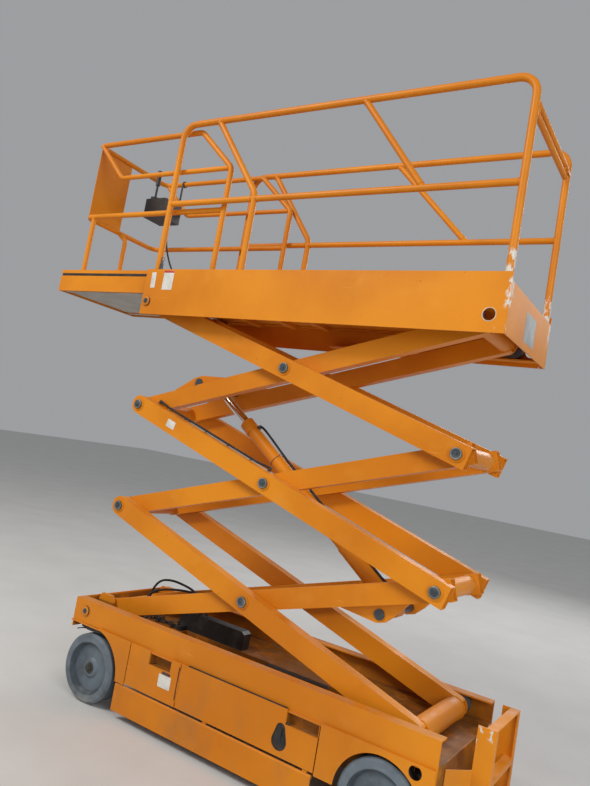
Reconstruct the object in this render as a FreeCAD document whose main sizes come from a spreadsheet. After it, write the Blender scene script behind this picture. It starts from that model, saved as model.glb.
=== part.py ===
import FreeCAD, Part
import Sketcher
import math
import os
import re

# A narrow electric scissor lift with three scissor stages, standing raised.
# Row frame in millimetres: +X towards the steered wheels and the extension deck,
# +Y towards the near side, +Z up, origin on the ground under the middle of the overall length.
# A place along the machine is given as its distance behind the base pivot.

SIZES = [
    # frame of reference
    ("ext_front", 905, "front of the extension deck ahead of the base pivot"),
    ("ladder_rear", 2337, "rear of the ladder behind the base pivot"),
    # widths that the rest follows
    ("skin_half", 412, "side panels' outer face from the middle"),
    ("beam_inset", 17, "side beams inside the side panels"),
    ("stack_inset", 95, "outer arms inside the side beams"),
    ("deck_half", 402, "platform's outer face from the middle"),
    # scissor stack
    ("arm_length", 2103, "pin to pin"),
    ("lift_angle", 17.14, "slope of the arms as the lift stands, degrees"),
    ("base_height", 486, "base pivot above the ground"),
    ("outer_height", 110, "depth of the outer arms"),
    ("inner_height", 102, "depth of the inner arms"),
    ("arm_width", 60, "width of every arm tube"),
    ("arm_gap", 5, "between outer and inner arms"),
    ("arm_wall", 6, "wall of the arm tubes"),
    ("end_reach", 56, "square arm ends beyond their pin"),
    ("pin_radius", 22.5, "scissor pins"),
    ("pin_head_radius", 28, "pin heads"),
    ("pin_head", 8, "thickness of a pin head"),
    ("collar_radius", 39, "raised collar round a pin"),
    ("collar", 4, "height of the collar"),
    ("running_gap", 0.05, "radial play of pins in the bores they turn in"),
    ("open_gap", 0.5, "radial play at the pivots where the loop is open"),
    ("cross_radius", 45, "cross tubes on the pin axes"),
    ("roller_tube_radius", 56, "cross tube at the base rollers"),
    ("cross_wall", 7, "wall of the cross tubes"),
    ("roller_radius", 49.5, "rollers at the base and under the deck"),
    ("roller_width", 40, "width of a roller"),
    ("roller_play", 4, "roller to the beam's web"),
    ("deck_roller_play", 14, "deck's roller to the platform's side panel"),
    # lift cylinder
    ("lug_along", 1775, "lower cylinder pin from the base pivot, along the arm"),
    ("lug_drop", 95, "lower cylinder pin below the arm's axis"),
    ("hump_along", 390, "upper cylinder pin from the front pivot, along the arm"),
    ("hump_rise", 73, "upper cylinder pin above the arm's axis"),
    ("lug_thick", 20, "lug and hump plates"),
    ("lug_edge", 38, "lug plate round its pin"),
    ("lug_front", 230, "lug plate's front end ahead of its pin"),
    ("lug_rear", 170, "lug plate's rear end behind its pin"),
    ("lug_flat", 22, "half of the lug plate's flat edge"),
    ("hump_foot", 265, "half of the hump plate's foot"),
    ("hump_flat", 30, "half of the hump plate's flat edge"),
    ("shaft_radius", 26, "cylinder shafts between the arms"),
    ("eye_radius", 34, "eyes at both cylinder ends"),
    ("eye_half", 36, "half width of the cylinder eyes"),
    ("eye_gap", 12, "eye to the shafts' ends at the open eye"),
    ("barrel_radius", 38, "cylinder barrel"),
    ("barrel_foot_radius", 43, "lower, thicker part of the barrel"),
    ("barrel_foot", 420, "length of the thicker part"),
    ("barrel_length", 1375, "lower eye to the gland's end"),
    ("gland_radius", 43, "gland nut"),
    ("gland", 70, "length of the gland nut"),
    ("rod_radius", 25, "piston rod"),
    ("rod_in", 88, "rod hidden in the barrel at its longest"),
    ("rod_travel", 960, "rod drawn out from rest to the top"),
    # chassis
    ("beam_top", 545, "top of the side beams"),
    ("beam_bottom", 428, "underside of the side beams"),
    ("beam_flange", 65, "width of the beams' flanges"),
    ("beam_wall", 8, "plate of the beams"),
    ("beam_front", 93, "chassis front ahead of the base pivot"),
    ("beam_rear", 2169, "beams' rear end behind the base pivot"),
    ("front_plate_bottom", 378, "lower edge of the front plate"),
    ("plate", 6, "floor and bulkhead plates"),
    ("deck_level", 418, "top of the trough's floor plates"),
    ("tunnel_half", 92, "middle tunnel's half width, outside"),
    ("tunnel_bottom", 140, "underside of the middle tunnel"),
    ("tunnel_front", 372, "front of the tunnel behind the base pivot"),
    ("tunnel_rear", 1800, "rear of the tunnel behind the base pivot"),
    ("tray_bottom", 204, "underside of the tray floors"),
    ("skin", 5, "side panels' thickness"),
    ("skin_bottom", 206, "lower edge of the side panels"),
    ("front_arch_radius", 233, "front wheel arch"),
    ("post_bottom", 196, "lower edge of the panels beside the pothole guards"),
    ("cover_front", 410, "front cover's front edge"),
    ("door_front", 780, "tray door's front edge"),
    ("door_rear", 1618, "tray door's rear edge"),
    ("panel_gap", 6, "gap round doors and covers"),
    ("pocket_depth", 70, "hand pockets, top to bottom"),
    ("pocket_in", 40, "hand pockets, from the skin inwards"),
    ("pocket_plate", 3, "plates round the hand pockets"),
    ("door_hinge_radius", 4.2, "knuckles of the doors' hinges"),
    ("arch_radius", 209, "rear wheel arch"),
    ("tie_hole_radius", 30, "lashing holes in the rear panels"),
    ("tie_hole_back", 2083, "lashing holes behind the base pivot"),
    ("tie_hole_level", 389, "lashing holes above the ground"),
    ("guard_front", 345, "pothole guard's front end"),
    ("guard_rear", 1610, "pothole guard's rear end"),
    ("guard_top", 190, "pothole guard's hinge line"),
    ("guard_bottom", 45, "pothole guard's lower edge"),
    ("latch_back", 198, "door's latch opening ahead of the door's rear edge"),
    ("latch_low", 66, "its large round over the door's lower edge"),
    ("latch_high", 124, "its small round over the door's lower edge"),
    ("latch_large", 42, "large round of the latch opening"),
    ("latch_small", 26, "small round of the latch opening"),
    ("guard_thick", 8, "pothole guard's plate"),
    ("guard_proud", 3, "pothole guard's face outside the skin's inner face"),
    ("hinge_radius", 9, "pothole guard's hinge tube"),
    ("base_lug_thick", 20, "plates that hold the base pivots"),
    ("base_lug_top", 575, "top of the base pivots' plates"),
    ("controller_front", 300, "black box in the trough, behind the base pivot"),
    ("controller_rear", 790, "its rear end"),
    ("controller_height", 105, "its height over the trough's floor"),
    ("hose_radius", 7, "hydraulic hoses"),
    ("hose_gland", 12, "glands at the hoses' ends"),
    ("gland_height", 16, "their height"),
    # ladder
    ("ladder_half", 200, "ladder's half width"),
    ("ladder_top", 595, "ladder's top bar"),
    ("ladder_bottom", 150, "ladder's lower end"),
    ("ladder_post", 45, "depth of the ladder's posts"),
    ("ladder_plate", 6, "ladder's plate"),
    ("rung_one", 210, "lower rung"),
    ("rung_two", 380, "upper rung"),
    ("rung_depth", 25, "height of a rung"),
    ("flare_foot", 300, "where the ladder's side plates meet the chassis, from the middle"),
    ("flare_rear", 2255, "where they turn straight back, behind the base pivot"),
    ("flare_top", 405, "top of the slanting part"),
    # running gear
    ("wheel_radius", 190, "tyres"),
    ("rim_radius", 144, "discs inside the tyres"),
    ("tyre_width", 125, "tyres"),
    ("tyre_inset", 8, "tyres inside the side panels"),
    ("disc_sink", 28, "disc's face inside the tyre's face"),
    ("disc_thick", 14, "disc's plate"),
    ("front_axle", 105, "front axle behind the base pivot"),
    ("rear_axle", 1929, "rear axle behind the base pivot"),
    ("hub_radius", 46, "wheel hubs"),
    ("stub_radius", 24, "axle stubs"),
    ("kingpin_inset", 158, "kingpins inside the tyres' outer faces"),
    ("kingpin_radius", 20, "kingpins"),
    ("knuckle_top", 368, "top of the knuckle's fork"),
    ("knuckle_plate", 16, "knuckle's plates"),
    ("motor_radius", 62, "drive motors on the knuckles"),
    ("steer_arm", 100, "steering arm's length"),
    ("tie_radius", 9, "tie rod"),
    ("axle_radius", 36, "rear axle tube"),
    # platform
    ("deck_front", 42, "platform's front ahead of the base pivot"),
    ("deck_rear", 2172, "platform's rear behind the base pivot"),
    ("panel_under", 79, "side panel's lower edge below the top pivots"),
    ("panel_over", 199, "side panel's top above the top pivots"),
    ("panel_plate", 5, "platform's side panels"),
    ("floor_over", 62, "floor's underside above the top pivots"),
    ("floor_plate", 6, "floor plate"),
    ("rail_over", 1124, "top rail above the top pivots"),
    ("mid_over", 619, "middle rail above the top pivots"),
    ("rail_radius", 19, "guard rail tubes"),
    ("rail_play", 0.5, "guard rails to the platform's side panels"),
    ("near_leg", 655, "near side's inner leg behind the base pivot"),
    ("near_leg_top", 290, "its upper end"),
    ("near_brace_top", 1265, "near side's diagonal, upper end"),
    ("near_brace_foot", 1670, "near side's diagonal, lower end"),
    ("far_leg", 560, "far side's inner leg"),
    ("far_leg_top", 200, "its upper end"),
    ("far_brace_top", 1135, "far side's diagonal, upper end"),
    ("far_brace_foot", 1640, "far side's diagonal, lower end"),
    ("rail_end", 26, "rear posts ahead of the platform's rear end"),
    ("bend", 90, "bend radius of the guard rails"),
    ("bar_drop", 140, "middle of the entry bar below the top rail"),
    ("bar_spread", 25, "entry bar's tubes above and below its middle"),
    ("bar_radius", 15, "entry bar's tubes"),
    ("bar_gap", 4.5, "entry bar's ends to the rear posts"),
    ("gate_pin", 5, "entry bar's hinge pin"),
    # extension deck
    ("ext_inset", 49, "extension's side plates inside the platform's"),
    ("strip_inset", 43, "extension's slide strips inside its side plates"),
    ("strip_width", 30, "extension's slide strips"),
    ("ext_length", 1330, "extension deck's length"),
    ("ext_rise", 8, "extension floor's underside above the main floor"),
    ("ext_side", 118, "extension's side plates"),
    ("ext_rail_inset", 23, "extension's guard rails inside its side plates"),
    ("ext_groove", 18, "groove above the side plates"),
    ("ext_lip", 22, "lip above the groove"),
    ("ext_step", 4, "depth of the groove"),
    ("ext_top", 3440, "extension's top rail above the ground"),
    ("ext_low", 3190, "extension's lower handrail"),
    ("ext_mid", 2930, "extension's middle rail"),
    ("ext_tip", 105, "front rail behind the extension's front"),
    ("ext_post", 187, "front posts behind the extension's front"),
    ("ext_slope", 280, "length of the rear slopes from the top rail down to the handrail"),
    ("ext_bend", 60, "bend radius of the extension's rails"),
    ("middle_post", 30, "middle front post from the middle"),
    # control box on the far top rail of the extension
    ("ext_drop", 276, "length of the top rail's fall at the extension's front"),
    ("cable_reach", 210, "cable's foot behind its socket"),
    ("box_ahead", 66, "control box behind the front rail"),
    ("box_length", 190, "control box, front to rear"),
    ("box_gap", 50, "control box's outer side inside the far rail's middle"),
    ("box_width", 180, "control box, side to side"),
    ("box_low", 3100, "control box's underside"),
    ("box_height", 140, "control box's height"),
    ("hook_plate", 6, "plates of its hook brackets"),
    ("stick_radius", 8, "joystick's stem"),
    ("grip_radius", 16, "joystick's grip"),
    ("stick_height", 225, "joystick over the box"),
    ("cable_radius", 6, "control cable"),
    ("cable_gland", 10, "glands at the cable's ends"),
    ("cable_gland_height", 14, "their height"),
]

# Sizes that follow from others, as formulas over the sheet.
FOLLOWING = {
    "beam_half": "(skin_half - beam_inset)",  # side beams' outer face from the middle
    "outer_face": "(beam_half - stack_inset)",  # outer arms' outer face from the middle
    "tyre_face": "(skin_half - tyre_inset)",  # tyres' outer face from the middle
    "kingpin_half": "(tyre_face - kingpin_inset)",  # kingpins from the middle
    "rail_half": "(deck_half - panel_plate - rail_play - rail_radius)",  # main guard rails from the middle
    "ext_half": "(deck_half - ext_inset)",  # extension's side plates from the middle
    "ext_rail_half": "(ext_half - ext_rail_inset)",  # extension's guard rails from the middle
    "box_far": "(ext_rail_half - box_gap)",  # control box's outer side from the middle
    "box_near": "(box_far - box_width)",  # control box's inner side from the middle
    "box_high": "(box_low + box_height)",  # control box's top
}

doc = FreeCAD.newDocument("ScissorLift")
sheet = doc.addObject("Spreadsheet::Sheet", "Sizes")
for row, (alias, value, note) in enumerate(SIZES, start=1):
    sheet.set(f"A{row}", alias)
    sheet.set(f"B{row}", str(value))
    sheet.set(f"C{row}", note)
    sheet.setAlias(f"B{row}", alias)
doc.recompute()
ALIASES = re.compile(r"\b(" + "|".join(alias for alias, _, _ in SIZES) + r")\b")
FOLLOWERS = re.compile(r"\b(" + "|".join(FOLLOWING) + r")\b")
V = FreeCAD.Vector

# Places that several pieces share, as formulas over the sheet.
PIVOT = "((ladder_rear - ext_front) / 2)"
SPAN = "(arm_length * cos(lift_angle * 1deg))"
RISE = "(arm_length * sin(lift_angle * 1deg))"
TOP = f"(base_height + 3 * {RISE})"
INNER_FACE = "(outer_face - arm_width - arm_gap)"
subparts = []


def back(distance):
    """X of a place that lies the given distance behind the base pivot."""
    return f"({PIVOT} - ({distance}))"


def formula(text):
    """A formula with the following sizes spelled out and each size's name pointed at the sheet."""
    text = str(text)
    while FOLLOWERS.search(text):
        text = FOLLOWERS.sub(lambda found: FOLLOWING[found.group()], text)
    return ALIASES.sub(r"Sizes.\1", text)


def number(text):
    """The value of a formula, in millimetres."""
    return float(sheet.evalExpression(formula(text)))


def bind(obj, **formulas):
    """Bind properties of an object to formulas over the sheet."""
    for name, text in formulas.items():
        obj.setExpression(name, formula(text))


def place(obj, x=0, y=0, z=0, turn=None, axis=V(0, 1, 0)):
    """Bind an object's place, and its turn in degrees about an axis."""
    if turn is not None:
        obj.Placement = FreeCAD.Placement(V(0, 0, 0), FreeCAD.Rotation(axis, 1))
        obj.setExpression(".Placement.Rotation.Angle", formula(turn))
    for letter, text in zip("xyz", (x, y, z)):
        if str(text) != "0":
            obj.setExpression(f".Placement.Base.{letter}", formula(text))


def box(name, x, y, z):
    """A plate or block between pairs of formulas."""
    block = doc.addObject("Part::Box", name)
    bind(
        block,
        Length=f"({x[1]}) - ({x[0]})",
        Width=f"({y[1]}) - ({y[0]})",
        Height=f"({z[1]}) - ({z[0]})",
    )
    place(block, x[0], y[0], z[0])
    return block


def along(name, near_end, far_end, z, y):
    """A plate given by its front and rear distance behind the base pivot."""
    return box(name, (back(far_end), back(near_end)), y, z)


TURNS = {
    "X": FreeCAD.Rotation(V(0, 1, 0), 90),
    "Y": FreeCAD.Rotation(V(1, 0, 0), -90),
    "Z": FreeCAD.Rotation(),
}


def round_bar(name, axis, radius, low, high, across):
    """A round bar along an axis from low to high, across giving its other two coordinates."""
    bar = doc.addObject("Part::Cylinder", name)
    bar.Placement = FreeCAD.Placement(V(0, 0, 0), TURNS[axis])
    bind(bar, Radius=radius, Height=f"({high}) - ({low})")
    first, second = across
    spots = {"X": (low, first, second), "Y": (first, low, second), "Z": (first, second, low)}
    for letter, text in zip("xyz", spots[axis]):
        bar.setExpression(f".Placement.Base.{letter}", formula(text))
    return bar


def ring(name, axis, radius, hole, low, high, across):
    """A tube along an axis."""
    return cut(
        name,
        round_bar(name + "_body", axis, radius, low, high, across),
        [round_bar(name + "_hole", axis, hole, f"({low}) - 1", f"({high}) + 1", across)],
    )


def fuse(name, pieces):
    if len(pieces) == 1:
        return pieces[0]
    joined = doc.addObject("Part::MultiFuse", name)
    joined.Shapes = pieces
    joined.Refine = True
    return joined


def gather(name, pieces):
    """Like pieces of one body that don't touch."""
    group = doc.addObject("Part::Compound", name)
    group.Links = pieces
    return group


def cut(name, body, tools):
    rest = doc.addObject("Part::Cut", name)
    rest.Base = body
    rest.Tool = tools[0] if len(tools) == 1 else gather_tools(name + "_tools", tools)
    return rest


def gather_tools(name, tools):
    joined = doc.addObject("Part::MultiFuse", name)
    joined.Shapes = tools
    return joined


def mirror(name, piece):
    """The same piece on the far side."""
    other = doc.addObject("Part::Mirroring", name)
    other.Source = piece
    other.Normal = V(0, 1, 0)
    return other


def both(name, piece):
    return fuse(name, [piece, mirror(name + "_far", piece)])


def plane_of(body, role):
    return next(feature for feature in body.Origin.OriginFeatures if feature.Role == role)


def sketch(body, name, role, points):
    """A closed outline on one of the body's own planes, each corner bound to the sheet."""
    drawing = body.newObject("Sketcher::SketchObject", name)
    drawing.AttachmentSupport = [(plane_of(body, role), "")]
    drawing.MapMode = "FlatFace"
    corners = [(number(x), number(y)) for x, y in points]
    for i, corner in enumerate(corners):
        after = corners[(i + 1) % len(corners)]
        drawing.addGeometry(Part.LineSegment(V(*corner, 0), V(*after, 0)))
    for i in range(len(corners)):
        drawing.addConstraint(Sketcher.Constraint("Coincident", i, 2, (i + 1) % len(corners), 1))
    for i, texts in enumerate(points):
        for kind, text, value in zip(("DistanceX", "DistanceY"), texts, corners[i]):
            index = drawing.addConstraint(Sketcher.Constraint(kind, -1, 1, i, 1, value))
            drawing.setExpression(f"Constraints[{index}]", formula(text))
    return drawing


def outline(name, points, low, high):
    """A plate with a drawn side outline of (x, z) corners, between two places across."""
    body = doc.addObject("PartDesign::Body", name)
    pad = body.newObject("PartDesign::Pad", name + "_pad")
    pad.Profile = sketch(body, name + "_sketch", "XZ_Plane", points)
    bind(pad, Length=f"({high}) - ({low})")
    place(body, 0, high, 0)
    return body


def turned(name, points):
    """A turned piece about the Y axis from (radius, y) corners."""
    body = doc.addObject("PartDesign::Body", name)
    spin = body.newObject("PartDesign::Revolution", name + "_spin")
    spin.Profile = sketch(body, name + "_sketch", "XY_Plane", points)
    spin.ReferenceAxis = (plane_of(body, "Y_Axis"), [""])
    spin.Angle = 360
    return body


def bent_tube(points, radius, bend=None):
    """A bent tube as a shape: straight runs between the points, joined by arcs.

    Without a bend radius each arc is as large as the shorter of its two runs allows."""
    spots = [V(*point) for point in points]
    edges = []
    start = spots[0]
    free = bend is None
    for before, corner, after in zip(spots, spots[1:], spots[2:]):
        shorter = min((before - corner).Length, (after - corner).Length)
        inward = (before - corner).normalize()
        outward = (after - corner).normalize()
        half = inward.getAngle(outward) / 2
        if free:
            bend = 0.45 * shorter * math.tan(half)
            print("bend radius", round(bend), "on a cord of radius", radius)
        reach = bend / math.tan(half)
        first = corner + inward * reach
        last = corner + outward * reach
        middle_way = (inward + outward).normalize()
        middle = corner + middle_way * (bend / math.sin(half) - bend)
        edges.append(Part.LineSegment(start, first).toShape())
        edges.append(Part.Arc(first, middle, last).toShape())
        start = last
    edges.append(Part.LineSegment(start, spots[-1]).toShape())
    path = Part.Wire(edges)
    section = Part.Wire([Part.makeCircle(radius, spots[0], spots[1] - spots[0])])
    return path.makePipeShell([section], True, True)


def shaped(name, shapes):
    """Bent tubes welded into one piece, their sizes read from the sheet."""
    piece = doc.addObject("Part::Feature", name)
    joined = shapes[0] if len(shapes) == 1 else shapes[0].multiFuse(shapes[1:])
    piece.Shape = joined
    return piece


def sub_part(name, piece):
    """Name a finished sub-part, which is written out under that name."""
    piece.Label = name
    subparts.append(piece)
    return piece


# Scissor arms. Each frame is built along its own X axis, its middle pin at the origin,
# its front end towards +X, and then turned about Y to its slope.

HALF = "(arm_length / 2)"


def arm(name, kind, round_rear):
    """One arm tube of the near side, its ends and its bosses."""
    face = "outer_face" if kind == "outer" else INNER_FACE
    half_height = f"({kind}_height / 2)"
    inner = f"({face} - arm_width)"
    rear = HALF if round_rear else f"({HALF} + end_reach)"
    pieces = [
        box(name + "_tube", (f"-{rear}", HALF), (inner, face), (f"-{half_height}", half_height)),
        round_bar(name + "_nose", "Y", half_height, inner, face, (HALF, 0)),
    ]
    if round_rear:
        pieces.append(round_bar(name + "_tail", "Y", half_height, inner, face, (f"-{HALF}", 0)))
    hollow = box(
        name + "_hollow",
        (f"-{HALF} - {half_height} - end_reach", f"{HALF} - collar_radius - arm_wall"),
        (f"{inner} + arm_wall", f"{face} - arm_wall"),
        (f"arm_wall - {half_height}", f"{half_height} - arm_wall"),
    )
    tube = cut(name + "_shell", fuse(name + "_solid", pieces), [hollow])
    proud = "collar" if kind == "outer" else "arm_gap - 1"
    bosses = [
        round_bar(f"{name}_boss{i}", "Y", "collar_radius", inner, f"{face} + {proud}", (spot, 0))
        for i, spot in enumerate((HALF, 0, f"-{HALF}"))
    ]
    return fuse(name + "_with_bosses", [tube] + bosses)


def bores(name, kind, plays):
    """The three pin bores of one side's arm: front, middle and rear play."""
    face = "outer_face" if kind == "outer" else INNER_FACE
    return [
        round_bar(
            f"{name}_bore{i}", "Y", f"pin_radius + {play}",
            f"{face} - arm_width - 2", f"{face} + 10", (spot, 0),
        )
        for i, (spot, play) in enumerate(zip((HALF, 0, f"-{HALF}"), plays))
    ]


def cross_tube(name, spot, radius, reach):
    """A hollow cross tube on a pin's axis, from one side's arm to the other."""
    return ring(name, "Y", radius, f"{radius} - cross_wall", f"-({reach})", reach, (spot, 0))


def set_arm(piece, stage, kind):
    """Turn a frame to its slope and bring it to its stage."""
    slope = "lift_angle" if kind == "inner" else "-lift_angle"
    place(
        piece, f"{PIVOT} - {SPAN} / 2", 0, f"base_height + ({stage} - 0.5) * {RISE}", turn=slope
    )


LUG_X = f"({HALF} - lug_along)"
HUMP_X = f"({HALF} - hump_along)"

# stage, plays of the inner frame's bores (front, middle, rear), plays of the outer frame's
STAGES = (
    (1, ("running_gap", "running_gap", "running_gap"), ("running_gap",) * 3),
    (2, ("open_gap", "running_gap", "open_gap"), ("running_gap",) * 3),
    (3, ("running_gap", "running_gap", "running_gap"), ("running_gap",) * 3),
)


def inner_frame(stage, plays):
    name = f"inner_arms_{stage}"
    inside = f"({INNER_FACE} - arm_width)"
    near = [arm(name + "_arm", "inner", round_rear=stage == 3)]
    if stage == 1:
        near.append(lug_plate(name + "_lug"))
    if stage == 3:
        near.append(hump_plate(name + "_hump"))
    holes = bores(name, "inner", plays)
    if stage == 1:
        holes.append(shaft_hole(name + "_shaft_hole", LUG_X, "-lug_drop"))
    if stage == 3:
        holes.append(shaft_hole(name + "_shaft_hole", HUMP_X, "hump_rise"))
    side = cut(name + "_side", fuse(name + "_joined", near), holes)
    tubes = [
        cross_tube(name + "_front_tube", HALF, "cross_radius", inside),
        cross_tube(name + "_rear_tube", f"-{HALF}", "cross_radius", inside),
    ]
    frame = fuse(name + "_frame", [side, mirror(name + "_far_side", side)] + tubes)
    set_arm(frame, stage, "inner")
    return sub_part(name, frame)


def lug_plate(name):
    """Plate under the first inner arm that carries the lift cylinder's lower pin."""
    top = "(arm_wall - inner_height / 2)"
    tip = "(-lug_drop - lug_edge)"
    points = [
        (f"{LUG_X} + lug_front", top), (f"{LUG_X} + lug_flat", tip), (f"{LUG_X} - lug_flat", tip),
        (f"{LUG_X} - 2 * lug_edge", "-lug_drop - lug_edge / 3"), (f"{LUG_X} - lug_rear", top),
    ]
    inside = f"({INNER_FACE} - arm_width)"
    return outline(name, points, inside, f"{inside} + lug_thick")


def hump_plate(name):
    """Plate over the third inner arm that carries the lift cylinder's upper pin."""
    foot = "(inner_height / 2 - arm_wall)"
    peak = "(hump_rise + lug_edge)"
    points = [
        (f"{HUMP_X} + hump_foot", foot), (f"{HUMP_X} + hump_flat", peak),
        (f"{HUMP_X} - hump_flat", peak), (f"{HUMP_X} - hump_foot", foot),
    ]
    inside = f"({INNER_FACE} - arm_width)"
    return outline(name, points, inside, f"{inside} + lug_thick")


def shaft_hole(name, x, z):
    inside = f"({INNER_FACE} - arm_width)"
    return round_bar(
        name, "Y", "shaft_radius + running_gap", f"{inside} - 10", f"{INNER_FACE} + 10", (x, z)
    )


def outer_frame(stage, plays):
    name = f"outer_arms_{stage}"
    side = cut(
        name + "_side", arm(name + "_arm", "outer", round_rear=stage == 1),
        bores(name, "outer", plays),
    )
    sides = [side, mirror(name + "_far_side", side)]
    inside = "(outer_face - arm_width)"
    if stage == 1:
        sides.append(cross_tube(name + "_tube", f"-{HALF}", "roller_tube_radius", inside))
    if stage == 3:
        sides.append(cross_tube(name + "_tube", HALF, "cross_radius", inside))
    frame = fuse(name + "_frame", sides)
    set_arm(frame, stage, "outer")
    return sub_part(name, frame)


def headed_pin(name, spot, low, high, head_outside=True):
    """A pin across the near side's arms with its round head outside."""
    pieces = [round_bar(name, "Y", "pin_radius", low, high, (spot, 0))]
    if head_outside:
        pieces.append(
            round_bar(name + "_head", "Y", "pin_head_radius", high, f"{high} + pin_head", (spot, 0))
        )
    return pieces


def pins(stage):
    """The pins that ride on one outer frame, both sides."""
    name = f"pins_{stage}"
    inside = f"({INNER_FACE} - arm_width)"
    outside = "(outer_face + collar)"
    arm_inside = "(outer_face - arm_width)"
    near = headed_pin(name + "_middle", 0, inside, outside)
    if stage == 3:
        near += headed_pin(name + "_front", HALF, arm_inside, "deck_half")
    else:
        near += headed_pin(name + "_front", HALF, inside, outside)
    if stage == 1:
        near += headed_pin(name + "_rear", f"-{HALF}", arm_inside, ROLLER_OUT, head_outside=False)
    else:
        near += headed_pin(name + "_rear", f"-{HALF}", inside, outside)
    side = fuse(name + "_near", near)
    group = gather(name + "_all", [side, mirror(name + "_far", side)])
    set_arm(group, stage, "outer")
    return sub_part(name, group)


ROLLER_OUT = "(beam_half - beam_wall - roller_play)"
DECK_ROLLER_OUT = "(deck_half - panel_plate - deck_roller_play)"


def rollers(name, stage, kind, outer_end):
    """A pair of rollers on a frame's rear pins."""
    roller = ring(
        name + "_near", "Y", "roller_radius", "pin_radius + running_gap",
        f"{outer_end} - roller_width", outer_end, (f"-{HALF}", 0),
    )
    group = gather(name + "_all", [roller, mirror(name + "_far", roller)])
    set_arm(group, stage, kind)
    return sub_part(name, group)


for stage, inner_plays, outer_plays in STAGES:
    inner_frame(stage, inner_plays)
    outer_frame(stage, outer_plays)
    pins(stage)
rollers("base_rollers", 1, "outer", ROLLER_OUT)
rollers("deck_rollers", 3, "inner", DECK_ROLLER_OUT)

# The third inner frame's rear pins carry the deck's rollers.
roller_pin = round_bar(
    "roller_pin", "Y", "pin_radius", f"{INNER_FACE} - arm_width", DECK_ROLLER_OUT, (f"-{HALF}", 0)
)
roller_pins = gather("roller_pins_all", [roller_pin, mirror("roller_pin_far", roller_pin)])
set_arm(roller_pins, 3, "inner")
sub_part("roller_pins", roller_pins)

# The cylinder's shafts: one through shaft at the top, two stubs at the open lower eye.
inside = f"({INNER_FACE} - arm_width)"
top_shaft = round_bar(
    "top_shaft", "Y", "shaft_radius", f"-({inside} + lug_thick + pin_head)",
    f"{inside} + lug_thick + pin_head", (HUMP_X, "hump_rise"),
)
top_shafts = gather("top_shafts", [top_shaft])
set_arm(top_shafts, 3, "inner")
sub_part("cylinder_shaft_upper", top_shafts)
stub = round_bar(
    "lower_stub", "Y", "shaft_radius", "eye_half + eye_gap",
    f"{inside} + lug_thick + pin_head", (LUG_X, "-lug_drop"),
)
stubs = gather("lower_stubs", [stub, mirror("lower_stub_far", stub)])
set_arm(stubs, 1, "inner")
sub_part("cylinder_stubs_lower", stubs)

# Lift cylinder, built along X from its upper eye down to its lower eye.
COS = "cos(lift_angle * 1deg)"
SIN = "sin(lift_angle * 1deg)"
UPPER_X = f"({PIVOT} - hump_along * {COS} + hump_rise * {SIN})"
UPPER_Z = f"(base_height + 2 * {RISE} + hump_along * {SIN} + hump_rise * {COS})"
LOWER_X = f"({PIVOT} - lug_along * {COS} - lug_drop * {SIN})"
LOWER_Z = f"(base_height + lug_along * {SIN} - lug_drop * {COS})"
REACH = f"sqrt(({UPPER_X} - {LOWER_X})^2 + ({UPPER_Z} - {LOWER_Z})^2)"
CYLINDER_TURN = f"180 - atan2({UPPER_Z} - {LOWER_Z}; {UPPER_X} - {LOWER_X}) / 1deg"
ROD_FROM = f"({REACH} - barrel_length)"

rod_eye = ring(
    "rod_eye", "Y", "eye_radius", "shaft_radius + running_gap", "-eye_half", "eye_half", (0, 0)
)
rod_bar = round_bar(
    "rod_bar", "X", "rod_radius", "shaft_radius + 3", f"{ROD_FROM} + rod_travel + rod_in", (0, 0)
)
piston = round_bar(
    "piston", "X", "rod_radius + 4", f"{ROD_FROM} + rod_travel + rod_in - 14",
    f"{ROD_FROM} + rod_travel + rod_in", (0, 0),
)
lift_rod = fuse("lift_rod", [rod_eye, rod_bar, piston])
place(lift_rod, UPPER_X, 0, UPPER_Z, turn=CYLINDER_TURN)
sub_part("cylinder_rod", lift_rod)

barrel_solid = fuse("barrel_solid", [
    round_bar("barrel_tube", "X", "barrel_radius", ROD_FROM, f"{REACH} - 20", (0, 0)),
    round_bar("barrel_gland", "X", "gland_radius", ROD_FROM, f"{ROD_FROM} + gland", (0, 0)),
    round_bar(
        "barrel_low", "X", "barrel_foot_radius", f"{REACH} - barrel_foot", f"{REACH} - 20", (0, 0)
    ),
    round_bar("barrel_eye", "Y", "eye_radius", "-eye_half", "eye_half", (REACH, 0)),
])
barrel = cut("barrel", barrel_solid, [
    round_bar(
        "barrel_bore", "X", "rod_radius + 4.5", f"{ROD_FROM} + gland", f"{REACH} - eye_radius - 8",
        (0, 0),
    ),
    round_bar(
        "gland_bore", "X", "rod_radius + running_gap", f"{ROD_FROM} - 1", f"{ROD_FROM} + gland + 1",
        (0, 0),
    ),
])
place(barrel, UPPER_X, 0, UPPER_Z, turn=CYLINDER_TURN)
sub_part("cylinder_barrel", barrel)

# Chassis: two channel beams, a floor with a deep middle tunnel, trays, bulkheads and end plates.
NEAR_BEAM = ("beam_half - beam_wall", "beam_half")
FLANGE = ("beam_half - beam_flange", "beam_half")
FLOOR = ("deck_level - plate", "deck_level")
SKIN_IN = "(skin_half - skin)"
TUNNEL_IN = "(tunnel_half - plate)"
TRAY = ("tray_bottom", "tray_bottom + plate")
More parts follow.
